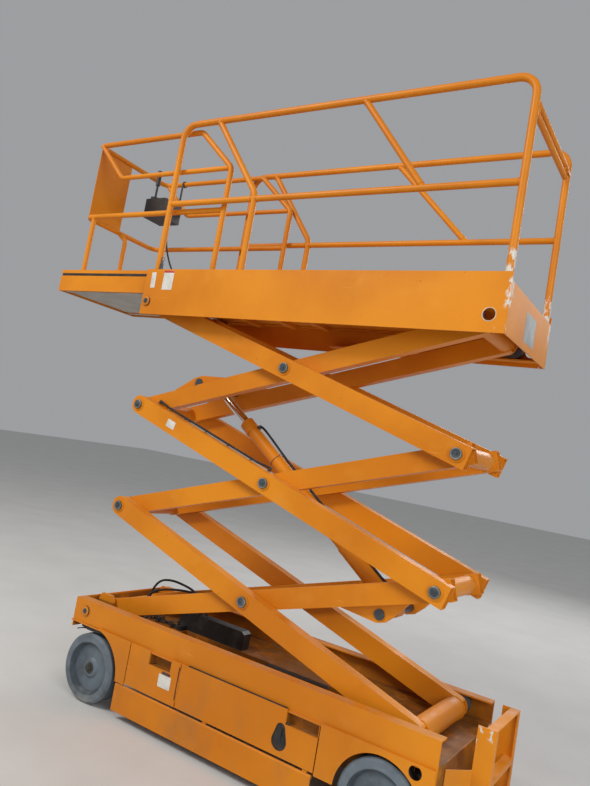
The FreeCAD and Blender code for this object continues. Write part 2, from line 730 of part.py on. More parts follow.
# name, front, rear, across, levels: plates of the near half, mirrored to the far half
CHASSIS_PLATES = (
    ("beam_web", "-beam_front", "beam_rear", NEAR_BEAM, ("beam_bottom", "beam_top")),
    ("beam_lid", "-beam_front", "beam_rear", FLANGE, ("beam_top - beam_wall", "beam_top")),
    ("beam_sole", "-beam_front", "beam_rear", FLANGE, ("beam_bottom", "beam_bottom + beam_wall")),
    ("floor", "-beam_front", "beam_rear", (TUNNEL_IN, SKIN_IN), FLOOR),
    ("floor_strip", "-beam_front", "beam_rear", FLANGE, ("deck_level", "beam_bottom")),
    ("tunnel_wall", "tunnel_front", "tunnel_rear", (TUNNEL_IN, "tunnel_half"),
     ("tunnel_bottom", "deck_level")),
    ("tray_floor", "tunnel_front", "door_rear + 28", (TUNNEL_IN, SKIN_IN), TRAY),
    ("front_bulkhead", "tunnel_front", "tunnel_front + plate", (TUNNEL_IN, SKIN_IN),
     ("tray_bottom", "deck_level")),
    ("rear_bulkhead", "door_rear + 22", "door_rear + 28", (TUNNEL_IN, SKIN_IN),
     ("tray_bottom", "deck_level")),
)
chassis_pieces = []
for name, front, rear, across, levels in CHASSIS_PLATES:
    chassis_pieces.append(both(name + "_pair", along(name, front, rear, levels, across)))
TUNNEL = (f"-{TUNNEL_IN}", TUNNEL_IN)
FULL = ("-beam_half", "beam_half")
SKINS = (f"-{SKIN_IN}", SKIN_IN)
# name, front, rear, across, levels: plates that cross the middle
CROSS_PLATES = (
    ("front_plate", "-beam_front", "-beam_front + plate", FULL, ("front_plate_bottom", "beam_top")),
    ("front_floor", "-beam_front", "tunnel_front + plate", TUNNEL, FLOOR),
    ("rear_floor", "tunnel_rear - plate", "beam_rear", TUNNEL, FLOOR),
    ("tunnel_floor", "tunnel_front", "tunnel_rear", TUNNEL,
     ("tunnel_bottom", "tunnel_bottom + plate")),
    ("tunnel_nose", "tunnel_front", "tunnel_front + plate", TUNNEL,
     ("tunnel_bottom", "deck_level")),
    ("tunnel_tail", "tunnel_rear - plate", "tunnel_rear", TUNNEL,
     ("tunnel_bottom", "deck_level")),
    ("rear_plate", "beam_rear - plate", "beam_rear", SKINS, ("ladder_bottom", "beam_bottom")),
)
for name, front, rear, across, levels in CROSS_PLATES:
    chassis_pieces.append(along(name, front, rear, levels, across))

# Lugs of the base pivots stand inside the beams.
BASE_LUG = (
    ("-45", "deck_level - 1"), ("-45", "base_lug_top - 35"), ("-25", "base_lug_top"),
    ("55", "base_lug_top"), ("75", "base_lug_top - 35"), ("75", "deck_level - 1"),
)
base_lug = outline(
    "base_lug", [(back(distance), level) for distance, level in BASE_LUG],
    "outer_face - 50", "outer_face - 50 + base_lug_thick",
)
chassis_pieces.append(both("base_lugs", base_lug))

# Hinge lugs hold the pothole guards' tubes under the tray floors.
GUARD_AXIS = "(skin_half - skin + guard_proud - hinge_radius)"
for i, spot in enumerate(("guard_front + 36", "(guard_front + guard_rear) / 2", "guard_rear - 36")):
    hinge_lug = along(
        f"hinge_lug{i}", f"{spot} - 12", f"{spot} + 12", ("guard_top + 0.3", "tray_bottom + 1"),
        (f"{GUARD_AXIS} - 6", f"{GUARD_AXIS} + 5"),
    )
    chassis_pieces.append(both(f"hinge_lugs{i}", hinge_lug))

# Kingpin bosses hang from the floor over the steered wheels, brackets hold the rear axle.
KING = (back("front_axle"), "kingpin_half")
boss = round_bar("king_boss", "Z", "kingpin_radius + 14", "knuckle_top + 1", "deck_level - 1", KING)
chassis_pieces.append(both("king_bosses", boss))
bracket = along(
    "axle_bracket", "rear_axle - 55", "rear_axle + 55", ("wheel_radius - axle_radius", "deck_level"),
    ("tunnel_half + 30", "tunnel_half + 42"),
)
chassis_pieces.append(both("axle_brackets", bracket))
chassis_solid = fuse("chassis_solid", chassis_pieces)
base_bore = round_bar(
    "base_bore", "Y", "pin_radius + running_gap", "-beam_half - 20", "beam_half + 20",
    (back("0"), "base_height"),
)
king_bores = [
    round_bar(f"king_bore{i}", "Z", "kingpin_radius + running_gap", "knuckle_top - 5",
              "deck_level - plate - 4", (KING[0], y))
    for i, y in enumerate(("kingpin_half", "-kingpin_half"))
]
axle_bore = round_bar(
    "axle_bore", "Y", "axle_radius + running_gap", "-beam_half", "beam_half",
    (back("rear_axle"), "wheel_radius"),
)
sub_part("chassis_frame", cut("chassis", chassis_solid, [base_bore] + king_bores + [axle_bore]))

# Base pins, headed on the beams' outer faces.
base_pin = fuse("base_pin", [
    round_bar("base_pin_bar", "Y", "pin_radius", f"{INNER_FACE} - arm_width", "beam_half",
              (back("0"), "base_height")),
    round_bar("base_pin_head", "Y", "pin_head_radius", "beam_half", "beam_half + pin_head",
              (back("0"), "base_height")),
])
sub_part("base_pins", gather("base_pins_all", [base_pin, mirror("base_pin_far", base_pin)]))

# Side panels: the post behind the steered wheel, the front cover and the rear panel.
SKIN_Y = (SKIN_IN, "skin_half")
PANEL_TOP = "(deck_level + 8)"


def panel(name, points):
    corners = [(back(distance), level) for distance, level in points]
    return outline(name, corners, *SKIN_Y)


def arch(name, axle, radius):
    """Tool for a wheel arch."""
    return round_bar(
        name, "Y", radius, f"{SKIN_IN} - 5", "skin_half + 5", (back(axle), "wheel_radius")
    )


def pocket(name, front, rear, skin_in):
    """Recess behind a hand pocket: a shelf, a back plate and two ends."""
    low = f"({PANEL_TOP} - pocket_depth - pocket_plate)"
    high = "(deck_level - plate - 1)"
    inmost = f"({skin_in} - pocket_in)"
    room = (inmost, f"{skin_in} + 1")
    back_wall = (f"{inmost} - pocket_plate", inmost)
    return [
        along(name + "_shelf", front, rear, (low, f"{low} + pocket_plate"), room),
        along(name + "_back", front, rear, (low, high), back_wall),
        along(name + "_front", f"{front} - pocket_plate", front, (low, high),
              (back_wall[0], room[1])),
        along(name + "_rear", rear, f"{rear} + pocket_plate", (low, high),
              (back_wall[0], room[1])),
    ]


post_blank = panel("post_blank", [
    ("front_axle + 40", PANEL_TOP), ("front_axle + 40", "post_bottom"),
    ("cover_front - panel_gap", "post_bottom"), ("cover_front - panel_gap", PANEL_TOP),
])
post_panel = cut("post_panel", post_blank, [arch("front_arch", "front_axle", "front_arch_radius")])
cover_plate = panel("cover_plate", [
    ("cover_front", PANEL_TOP), ("cover_front", "tray_bottom + 1"),
    ("door_front - panel_gap", "tray_bottom + 1"), ("door_front - panel_gap", PANEL_TOP),
    ("cover_front + 300", PANEL_TOP), ("cover_front + 300", f"{PANEL_TOP} - pocket_depth"),
    ("cover_front + 146", f"{PANEL_TOP} - pocket_depth"), ("cover_front + 146", PANEL_TOP),
])
# The doors' hinges: a fixed knuckle on the cover between two knuckles on the door.
HINGE = (back("door_front"), f"({SKIN_IN} + 2.75)")
HINGE_LOW = "(skin_bottom + 74)"
HINGE_HIGH = "(skin_bottom + 134)"
cover_panel = fuse("cover_panel", [
    cover_plate,
    along("hinge_leaf", "door_front - panel_gap - 1", "door_front", (HINGE_LOW, HINGE_HIGH), SKIN_Y),
    round_bar("fixed_knuckle", "Z", "door_hinge_radius", HINGE_LOW, HINGE_HIGH, HINGE),
] + pocket("cover_pocket", "cover_front + 146", "cover_front + 300", SKIN_IN))
rear_panel = panel("rear_panel", [
    ("door_rear + panel_gap", PANEL_TOP), ("door_rear + panel_gap", "post_bottom"),
    ("beam_rear", "post_bottom"), ("beam_rear", PANEL_TOP),
])
rear_cut = cut("rear_panel_cut", rear_panel, [
    arch("rear_arch", "rear_axle", "arch_radius"),
    round_bar("tie_hole", "Y", "tie_hole_radius", f"{SKIN_IN} - 5", "skin_half + 5",
              (back("tie_hole_back"), "tie_hole_level")),
])
near_panels = [post_panel, cover_panel, rear_cut]
far_panels = [mirror(f"far_panel{i}", piece) for i, piece in enumerate(near_panels)]
sub_part("side_panels", gather("panels", near_panels + far_panels))

# Tray doors, hinged at their front edge, with a hand pocket and a pear-shaped latch opening.
DOOR_IN = f"({SKIN_IN} + 0.5)"
DOOR_Y = (DOOR_IN, "skin_half")
door_corners = [
    ("door_front", PANEL_TOP), ("door_front", "skin_bottom"), ("door_rear", "skin_bottom"),
    ("door_rear", f"{PANEL_TOP} - pocket_depth"), ("door_rear - 178", f"{PANEL_TOP} - pocket_depth"),
    ("door_rear - 178", PANEL_TOP),
]
door_plate = outline("door_plate", [(back(d), z) for d, z in door_corners], *DOOR_Y)
LATCH = back("door_rear - latch_back")
LATCH_LOW = "(skin_bottom + latch_low)"
LATCH_HIGH = "(skin_bottom + latch_high)"
latch_low = round_bar(
    "latch_large", "Y", "latch_large", f"{SKIN_IN} - 5", "skin_half + 5", (LATCH, LATCH_LOW)
)
latch_high = round_bar(
    "latch_small", "Y", "latch_small", f"{SKIN_IN} - 5", "skin_half + 5", (LATCH, LATCH_HIGH)
)
latch_neck = outline("latch_neck", [
    (f"{LATCH} - latch_large + 1", f"{LATCH_LOW} + 9"),
    (f"{LATCH} + latch_large - 1", f"{LATCH_LOW} + 9"),
    (f"{LATCH} + latch_small - 1", f"{LATCH_HIGH} + 6"),
    (f"{LATCH} - latch_small + 1", f"{LATCH_HIGH} + 6"),
], f"{SKIN_IN} - 5", "skin_half + 5")
door_blank = fuse("door_blank", [
    door_plate,
    round_bar("low_knuckle", "Z", "door_hinge_radius", f"{HINGE_LOW} - 50", f"{HINGE_LOW} - 1", HINGE),
    round_bar("high_knuckle", "Z", "door_hinge_radius", f"{HINGE_HIGH} + 1", f"{HINGE_HIGH} + 50",
              HINGE),
] + pocket("door_pocket", "door_rear - 178", "door_rear - pocket_plate", DOOR_IN))
hinge_room = along(
    "hinge_room", "door_front - 1", "door_front + door_hinge_radius + 1.5",
    (f"{HINGE_LOW} - 1", f"{HINGE_HIGH} + 1"), (f"{SKIN_IN} - 5", "skin_half + 5"),
)
door_near = cut("door_near", door_blank, [latch_low, latch_high, latch_neck, hinge_room])
sub_part("tray_door_near", door_near)
sub_part("tray_door_far", mirror("door_far", door_near))

# Pothole guards hang down under the trays and swing in and up on their hinge tubes.
guard_plate = along(
    "guard_plate", "guard_front", "guard_rear", ("guard_bottom", "guard_top - hinge_radius"),
    (f"{SKIN_IN} + guard_proud - guard_thick", f"{SKIN_IN} + guard_proud"),
)
guard_tube = round_bar(
    "guard_tube", "X", "hinge_radius", back("guard_rear"), back("guard_front"),
    (GUARD_AXIS, "guard_top - hinge_radius"),
)
guard_near = fuse("guard_near", [guard_plate, guard_tube])
sub_part("pothole_guard_near", guard_near)
sub_part("pothole_guard_far", mirror("guard_far", guard_near))

# Heavy masses behind the doors, as plain blocks.
battery = along(
    "battery", "door_front + 20", "door_rear - 30", ("tray_bottom + plate", "deck_level - 40"),
    ("tunnel_half + 8", f"{SKIN_IN} - 60"),
)
sub_part("battery_block", battery)
power_pack = along(
    "power_pack", "door_front + 20", "door_rear - 30", ("tray_bottom + plate", "deck_level - 60"),
    (f"60 - {SKIN_IN}", "-tunnel_half - 8"),
)
sub_part("power_pack_block", power_pack)

# Black electrical box on the trough's floor, between the tunnel and the far arms.
controller_body = outline("controller_body", [
    (back("controller_front"), "deck_level"),
    (back("controller_front"), "deck_level + controller_height - 30"),
    (back("controller_front + 60"), "deck_level + controller_height"),
    (back("controller_rear - 20"), "deck_level + controller_height"),
    (back("controller_rear"), "deck_level + controller_height - 15"),
    (back("controller_rear"), "deck_level"),
], "-tunnel_half - 76", "-tunnel_half - 6")
sub_part("trough_box", controller_body)

# Two hoses arch from the trough's floor to the black box.
HOSE_FOOT = number("deck_level + gland_height + 0.3")
HOSE_END = number("deck_level + controller_height + gland_height + 0.3")
# name, points as distance behind the base pivot, across, level
HOSES = (
    ("trough_hose_long", (
        (78, -30, HOSE_FOOT), (78, -30, 510), (88, -33, 595), (130, -45, 668), (205, -68, 684),
        (285, -93, 672), (345, -113, 655), (385, -128, 625), (400, -133, 585), (400, -133, HOSE_END))),
    ("trough_hose_short", (
        (95, 30, HOSE_FOOT), (95, 30, 490), (102, 26, 550), (135, 10, 604), (195, -18, 628),
        (270, -50, 642), (340, -78, 647), (400, -95, 643), (452, -108, 622), (480, -114, 580),
        (480, -114, HOSE_END))),
)
hose_glands = []
for name, route in HOSES:
    points = [(number(back(distance)), y, z) for distance, y, z in route]
    hose = bent_tube(points, number("hose_radius"))
    sub_part(name, shaped(name + "_run", [hose]))
    for (x, y, z), low in ((points[0], "deck_level"), (points[-1], "deck_level + controller_height")):
        hose_glands.append(round_bar(
            f"{name}_gland{len(hose_glands)}", "Z", "hose_gland", f"{low} + 0.2", f"{low} + gland_height",
            (f"{x}", f"{y}"),
        ))
sub_part("hose_glands", fuse("hose_gland_set", hose_glands))

# Ladder at the rear end: slanting side plates that turn straight back, posts, a top and two rungs.
LADDER_SIDE = ("ladder_half - ladder_plate", "ladder_half")
FLARE_RUN = "(flare_rear - beam_rear)"
FLARE_OUT = "(flare_foot - ladder_half)"
FLARE_LENGTH = f"(({FLARE_RUN} - 0.2) * sqrt({FLARE_RUN}^2 + {FLARE_OUT}^2) / {FLARE_RUN})"
flare = doc.addObject("Part::Box", "flare")
bind(flare, Length=FLARE_LENGTH, Width="ladder_plate", Height="flare_top - ladder_bottom")
place(
    flare, back("flare_rear"), "ladder_half - ladder_plate", "ladder_bottom",
    turn=f"atan2({FLARE_OUT}; {FLARE_RUN}) / 1deg", axis=V(0, 0, 1),
)
ladder_near = fuse("ladder_near", [
    flare,
    along("ladder_side", "flare_rear - 6", "ladder_rear", ("ladder_bottom", "flare_top"), LADDER_SIDE),
    along("ladder_cheek", "flare_rear", "ladder_rear", ("flare_top - 1", "ladder_top"), LADDER_SIDE),
    along("ladder_post", "ladder_rear - ladder_plate", "ladder_rear",
          ("ladder_bottom", "ladder_top"), ("ladder_half - 30", "ladder_half")),
])
ladder_bars = [
    along(f"ladder_bar{i}", "ladder_rear - ladder_post", "ladder_rear", levels,
          ("-ladder_half", "ladder_half"))
    for i, levels in enumerate((
        ("ladder_top - ladder_plate", "ladder_top"),
        ("rung_one - rung_depth", "rung_one"), ("rung_two - rung_depth", "rung_two"),
    ))
]
sub_part("ladder", fuse("ladder_frame", [both("ladder_sides", ladder_near)] + ladder_bars))

# Rear axle tube with its flanges and stubs.
axle_middle = f"({KING[1]} + 20)"
rear_axle_pieces = [
    round_bar("axle_tube", "Y", "axle_radius", f"-{axle_middle}", axle_middle,
              (back("rear_axle"), "wheel_radius")),
    round_bar("axle_stub", "Y", "stub_radius", "-(tyre_face - disc_sink + 4)",
              "tyre_face - disc_sink + 4", (back("rear_axle"), "wheel_radius")),
]
sub_part("rear_axle", fuse("rear_axle_bar", rear_axle_pieces))


def wheel(place_name, distance, side):
    """One wheel: a solid tyre on a dished disc with its hub, turned about its axle."""
    shoulder = 12
    rim = "rim_radius"
    tyre = turned(f"tyre_{place_name}_body", [
        (rim, 0), (f"wheel_radius - {shoulder}", 0), ("wheel_radius", shoulder),
        ("wheel_radius", f"tyre_width - {shoulder}"), (f"wheel_radius - {shoulder}", "tyre_width"),
        (rim, "tyre_width"),
    ])
    face = "(tyre_width - disc_sink)"
    disc = turned(f"disc_{place_name}_body", [
        ("stub_radius + running_gap", "30"), ("hub_radius", "30"),
        ("hub_radius", f"{face} - disc_thick"), (f"{rim} - 6", f"{face} - disc_thick"),
        (f"{rim} - 6", "6"), (rim, "6"), (rim, "tyre_width - 4"), (f"{rim} - 6", "tyre_width - 4"),
        (f"{rim} - 14", face), ("hub_radius + 12", face), ("hub_radius", f"{face} + 10"),
        ("stub_radius + running_gap", f"{face} + 10"),
    ])
    for piece, node in ((tyre, f"tyre_{place_name}"), (disc, f"disc_{place_name}")):
        if side > 0:
            place(piece, back(distance), "tyre_face - tyre_width", "wheel_radius")
            sub_part(node, piece)
        else:
            place(piece, back(distance), "tyre_face - tyre_width", "wheel_radius")
            sub_part(node, mirror(f"{node}_far", piece))


for place_name, distance, side in (
    ("front_near", "front_axle", 1), ("front_far", "front_axle", -1),
    ("rear_near", "rear_axle", 1), ("rear_far", "rear_axle", -1),
):
    wheel(place_name, distance, side)

# Steering knuckles with kingpin, drive motor, stub and steering arm.
WHEEL_IN = "(tyre_face - tyre_width)"
AXLE = (back("front_axle"), "wheel_radius")
knuckle_cheek = along(
    "knuckle_cheek", "front_axle - 62", "front_axle + 62",
    ("wheel_radius - 62", "knuckle_top"), (f"{WHEEL_IN} - 7 - knuckle_plate", f"{WHEEL_IN} - 7"),
)
knuckle_lid = along(
    "knuckle_lid", "front_axle - 62", "front_axle + 62",
    ("knuckle_top - knuckle_plate", "knuckle_top"), ("kingpin_half - 42", f"{WHEEL_IN} - 7"),
)
knuckle = fuse("knuckle", [
    knuckle_cheek,
    knuckle_lid,
    round_bar("kingpin", "Z", "kingpin_radius", "knuckle_top - knuckle_plate",
              "deck_level - plate - 6", KING),
    round_bar("drive_motor", "Y", "motor_radius", f"{WHEEL_IN} - 7 - knuckle_plate - 80",
              f"{WHEEL_IN} - 7 - knuckle_plate", AXLE),
    round_bar("knuckle_stub", "Y", "stub_radius", f"{WHEEL_IN} - 10",
              "tyre_face - disc_sink + 4", AXLE),
    along("steer_arm_plate", "front_axle - steer_arm - 14", "front_axle - 40",
          ("knuckle_top - 10", "knuckle_top"), ("kingpin_half - 16", "kingpin_half + 16")),
])
sub_part("knuckle_near", knuckle)
sub_part("knuckle_far", mirror("knuckle_other", knuckle))

TIE_X = back("front_axle - steer_arm")
TIE_Z = "(knuckle_top + 5 + tie_radius)"
tie_pieces = [
    round_bar("tie_bar", "Y", "tie_radius", "-kingpin_half - 12", "kingpin_half + 12", (TIE_X, TIE_Z)),
    round_bar("tie_ball", "Z", "tie_radius - 2", "knuckle_top + 0.3", TIE_Z, (TIE_X, "kingpin_half")),
    round_bar("tie_ball_far", "Z", "tie_radius - 2", "knuckle_top + 0.3", TIE_Z,
              (TIE_X, "-kingpin_half")),
]
sub_part("tie_rod", fuse("tie_rod_bar", tie_pieces))

# Platform: side panels with roller channels, floor, rear plate, pivot brackets.
DECK_IN = "(deck_half - panel_plate)"
CHANNEL = (f"{DECK_IN} - beam_flange - 2", DECK_IN)
CHANNEL_LID = f"({TOP} + outer_height / 2 + 1)"
UNDER = f"({TOP} + floor_over)"
FLOOR_TOP = f"({UNDER} + floor_plate)"
EXT_FLOOR = f"({FLOOR_TOP} + ext_rise)"
PANEL_LOW = f"({TOP} - panel_under)"
PANEL_HIGH = f"({TOP} + panel_over)"
HALF_CHANNEL = "(base_height - beam_bottom - beam_wall)"
# name, front, rear, across, levels
DECK_PLATES = (
    ("deck_panel", "-deck_front", "deck_rear", (DECK_IN, "deck_half"), (PANEL_LOW, PANEL_HIGH)),
    ("channel_sole", "880", "deck_rear", CHANNEL,
     (f"{TOP} - {HALF_CHANNEL} - 8", f"{TOP} - {HALF_CHANNEL}")),
    ("channel_lid", "-deck_front", "deck_rear", CHANNEL,
     (CHANNEL_LID, f"{CHANNEL_LID} + 4")),
    ("pivot_bracket", "-40", "60", ("outer_face + 14", "outer_face + 26"),
     (f"{TOP} - 46", f"{UNDER} + 1")),
)
deck_pieces = []
for name, front, rear, across, levels in DECK_PLATES:
    deck_pieces.append(both(name + "_pair", along(name, front, rear, levels, across)))
deck_pieces.append(along(
    "deck_rear_plate", "deck_rear - panel_plate", "deck_rear", (PANEL_LOW, f"{TOP} + 160"),
    (f"-{DECK_IN}", DECK_IN),
))
deck_pieces.append(along(
    "deck_floor", "-deck_front", "deck_rear", (UNDER, FLOOR_TOP), ("-ext_half + 10", "ext_half - 10")
))
lip = along(
    "floor_lip", "-deck_front", "deck_rear", (f"{CHANNEL_LID} + 3", FLOOR_TOP),
    ("ext_half - 16", "ext_half - 10"),
)
deck_pieces.append(both("floor_lips", lip))
for i, spot in enumerate(("320", "600", "850")):
    deck_pieces.append(along(
        f"deck_beam{i}", f"{spot} - 20", f"{spot} + 20", (f"{UNDER} - 24", f"{UNDER} + 1"),
        ("-ext_half + 12", "ext_half - 12"),
    ))
deck_solid = fuse("deck_solid", deck_pieces)
deck_bore = round_bar(
    "deck_bore", "Y", "pin_radius + running_gap", "-deck_half - 10", "deck_half + 10",
    (back("0"), TOP),
)
access_hole = round_bar(
    "access_hole", "Y", 29, "-deck_half - 10", "deck_half + 10", (back("deck_rear - 80"), f"{TOP} + 3")
)
sub_part("platform_frame", cut("deck", deck_solid, [deck_bore, access_hole]))

# Main guard rails. Each side has a long hoop, an inner hoop leg, a middle rail and a diagonal.
RAIL = number("rail_radius")
BEND = number("bend")
RAIL_TOP = number(f"{TOP} + rail_over")
RAIL_MID = number(f"{TOP} + mid_over")
RAIL_FOOT = number(f"{CHANNEL_LID} + 4.2")


def at(distance):
    return number(back(distance))


def guard_rail(side, leg, leg_top, brace_top, brace_foot):
    y = side * number("rail_half")
    front = at("-deck_front + 60")
    rear = at("deck_rear - rail_end")
    tubes = [
        bent_tube([(front, y, RAIL_FOOT), (front, y, RAIL_TOP), (rear, y, RAIL_TOP),
                   (rear, y, RAIL_FOOT)], RAIL, BEND),
        bent_tube([(at(leg_top), y, RAIL_TOP), (at(leg), y, RAIL_MID + 30),
                   (at(leg), y, RAIL_FOOT)], RAIL - 1, BEND),
        bent_tube([(front, y, RAIL_MID), (rear, y, RAIL_MID)], RAIL - 1.5, BEND),
        bent_tube([(at(brace_top), y, RAIL_TOP), (at(brace_foot), y, RAIL_MID)], RAIL - 2, BEND),
    ]
    return tubes


# The entry bar lies between the rear posts: a fork and pin at the far post, a rest at the near one.
POST_Y = number("rail_half")
BAR_HALF = number("rail_half - 2 * rail_radius - bar_gap")
BAR_X = at("deck_rear - rail_end")
BAR_MID = RAIL_TOP - number("bar_drop")
BAR_SPREAD = number("bar_spread")
BAR_RADIUS = number("bar_radius")
PIN = number("gate_pin")
GATE_Y = -BAR_HALF + 2 * BAR_RADIUS
TIE = BAR_RADIUS - 3


def block(x, y, z):
    """A plain block shape between pairs of numbers."""
    corner = V(x[0], y[0], z[0])
    return Part.makeBox(x[1] - x[0], y[1] - y[0], z[1] - z[0], corner)


def cheek(low, high):
    return block((BAR_X + low, BAR_X + high), (-POST_Y + 2, GATE_Y + 12), (BAR_MID - 9, BAR_MID + 9))


REST_TOP = BAR_MID - BAR_SPREAD - BAR_RADIUS - 0.2
fork = [
    cheek(-BAR_RADIUS - 6, -BAR_RADIUS - 2),
    cheek(BAR_RADIUS + 2, BAR_RADIUS + 6),
    Part.makeCylinder(PIN, 2 * BAR_RADIUS + 20, V(BAR_X - BAR_RADIUS - 10, GATE_Y, BAR_MID), V(1, 0, 0)),
]
rest = [block((BAR_X - 13, BAR_X + 13), (BAR_HALF - 25, POST_Y - 8), (REST_TOP - 6, REST_TOP))]
near_tubes = guard_rail(1, "near_leg", "near_leg_top", "near_brace_top", "near_brace_foot") + rest
far_tubes = guard_rail(-1, "far_leg", "far_leg_top", "far_brace_top", "far_brace_foot") + fork
sub_part("main_rail_near", shaped("main_rail_near_tubes", near_tubes))
sub_part("main_rail_far", shaped("main_rail_far_tubes", far_tubes))

# Entry bar across the rear, hinged at the far post.
entry_tubes = [
    bent_tube([(BAR_X, -BAR_HALF, level), (BAR_X, BAR_HALF, level)], BAR_RADIUS, BEND)
    for level in (BAR_MID + BAR_SPREAD, BAR_MID - BAR_SPREAD)
] + [
    bent_tube([(BAR_X, y, BAR_MID - BAR_SPREAD), (BAR_X, y, BAR_MID + BAR_SPREAD)], TIE, BEND)
    for y in (GATE_Y, BAR_HALF - BAR_RADIUS)
]
entry_bar = shaped("entry_bar_tubes", entry_tubes)
gate_hole = doc.addObject("Part::Cylinder", "gate_hole")
gate_hole.Placement = FreeCAD.Placement(V(BAR_X - 30, GATE_Y, BAR_MID), TURNS["X"])
bind(gate_hole, Radius="gate_pin + running_gap")
gate_hole.Height = 60
sub_part("entry_bar", cut("entry_bar_drilled", entry_bar, [gate_hole]))

# Extension deck: floor on slide strips, side plates and a front plate, inside the main panels.
EXT_BACK = "(ext_length - ext_front)"
STRIP = ("ext_half - strip_inset - strip_width", "ext_half - strip_inset")
EXT_TOP = f"({FLOOR_TOP} + ext_side - 20)"
EXT_LIP = f"({EXT_TOP} + ext_groove)"
GROOVE = ("(ext_half - 5.5)", "(ext_half - ext_step)")
ext_pieces = [
    along("ext_floor", "-ext_front", EXT_BACK, (EXT_FLOOR, f"{EXT_FLOOR} + 5"),
          ("-ext_half", "ext_half")),
    along("ext_front_plate", "-ext_front", "-ext_front + 5", (f"{FLOOR_TOP} - 6", EXT_TOP),
          ("-ext_half", "ext_half")),
    both("ext_sides", along("ext_side_plate", "-ext_front", EXT_BACK,
                            (f"{FLOOR_TOP} - 6", EXT_TOP), ("ext_half - 5", "ext_half"))),
    both("ext_strips", along("ext_strip", "-ext_front + 5", EXT_BACK,
                             (f"{FLOOR_TOP} + 0.3", f"{EXT_FLOOR} + 1"), STRIP)),
    # the sides and the front end in a groove and a lip over it
    both("ext_grooves", along("ext_groove", "-ext_front + ext_step", EXT_BACK,
                              (f"{EXT_TOP} - 1", f"{EXT_LIP} + 1"), GROOVE)),
    both("ext_lips", along("ext_lip", "-ext_front", EXT_BACK, (EXT_LIP, f"{EXT_LIP} + ext_lip"),
                           (GROOVE[0], "ext_half"))),
    along("ext_front_groove", "-ext_front + ext_step", "-ext_front + 5.5",
          (f"{EXT_TOP} - 1", f"{EXT_LIP} + 1"), (f"-{GROOVE[1]}", GROOVE[1])),
    along("ext_front_lip", "-ext_front", "-ext_front + 5.5",
          (EXT_LIP, f"{EXT_LIP} + ext_lip"), ("-ext_half", "ext_half")),
]
sub_part("extension_deck", fuse("extension", ext_pieces))

EXT_FOOT = number(f"{EXT_FLOOR} + 5.3")
EXT_Y = number("ext_rail_half")
EXT_TIP = at("-ext_front + ext_tip")
EXT_POST = at("-ext_front + ext_post")
EXT_TAIL = at(f"{EXT_BACK} - 20")
EXT_PEAK = EXT_TAIL + number("ext_slope")
TOP_RAIL = number("ext_top")
LOW_RAIL = number("ext_low")
MID_RAIL = number("ext_mid")
EXT_BEND = number("ext_bend")
POST = number("middle_post")


def loop(near_half):
    """Points of a rail that runs round the extension, given its near half from the rear."""
    return [(x, EXT_Y, z) for x, z in near_half] + [(x, -EXT_Y, z) for x, z in near_half[::-1]]


TOP_LOOP = ((EXT_TAIL, EXT_FOOT), (EXT_TAIL, LOW_RAIL), (EXT_PEAK, TOP_RAIL), (EXT_TIP, TOP_RAIL))
rail_shapes = [
    bent_tube(loop(TOP_LOOP), RAIL - 2, EXT_BEND),
    bent_tube(loop(((EXT_TAIL, MID_RAIL), (EXT_TIP, MID_RAIL))), RAIL - 2.5, EXT_BEND),
]
for y in (EXT_Y, -EXT_Y):
    rail_shapes += [
        bent_tube([(EXT_TIP - 20, y, TOP_RAIL), (EXT_TIP - number("ext_drop"), y, LOW_RAIL),
                   (EXT_TAIL, y, LOW_RAIL)], RAIL - 4, EXT_BEND),
        bent_tube([(EXT_POST, y, EXT_FOOT), (EXT_POST, y, MID_RAIL)], RAIL - 3, EXT_BEND),
    ]
rail_shapes.append(bent_tube(
    [(EXT_POST, POST, EXT_FOOT), (EXT_POST, POST, MID_RAIL - 60), (EXT_TIP, POST, MID_RAIL)],
    RAIL - 3.5, 40,
))
sub_part("extension_rails", shaped("extension_rail_tubes", rail_shapes))

# Solid sheet in the near half of the extension's front.
front_sheet = box(
    "front_sheet", (f"{EXT_TIP} - 2", f"{EXT_TIP} + 2"), ("middle_post", "ext_rail_half - 16"),
    ("ext_mid + rail_radius - 2.3", "ext_top - rail_radius + 1.8"),
)
sub_part("front_sheet", front_sheet)

# Control box, hung from the far top rail by two hook brackets, with its joystick and cable.
BOX_X = (f"{EXT_TIP} - box_ahead - box_length", f"{EXT_TIP} - box_ahead")
control_body = box("control_body", BOX_X, ("-box_far", "-box_near"), ("box_low", "box_high"))
HOOK_IN = "(rail_radius + 5 - ext_rail_half)"
hooks = []
for i, spot in enumerate((f"{BOX_X[1]} - 20", f"{BOX_X[1]} - 120")):
    width = (f"{spot} - 14", spot)
    ring_of_hook = ring(
        f"hook_ring{i}", "X", "rail_radius + 5", "rail_radius - 1.7", width[0], width[1],
        ("-ext_rail_half", "ext_top"),
    )
    hooks += [
        ring_of_hook,
        box(f"hook_strap{i}", width, (f"{HOOK_IN} - hook_plate", HOOK_IN), ("box_high - 40", "ext_top")),
        box(f"hook_foot{i}", width, (f"{HOOK_IN} - hook_plate", "1 - box_far"),
            ("box_high - 40", "box_high - 34")),
    ]
sub_part("control_box", fuse("control_box_body", [control_body] + hooks))
STICK = (f"{BOX_X[1]} - 45", "50 - (box_near + box_far) / 2")
joystick = fuse("joystick_grip", [
    round_bar("joystick_boot", "Z", "2 * grip_radius", "box_high", "box_high + 20", STICK),
    round_bar("joystick_stem", "Z", "stick_radius", "box_high", "box_high + stick_height - 20", STICK),
    round_bar("joystick_top", "Z", "grip_radius", "box_high + stick_height - 110",
              "box_high + stick_height", STICK),
])
sub_part("joystick", joystick)
CABLE_X = EXT_TIP - number("box_ahead") - number("box_length") + 20
CABLE_END = CABLE_X - number("cable_reach")
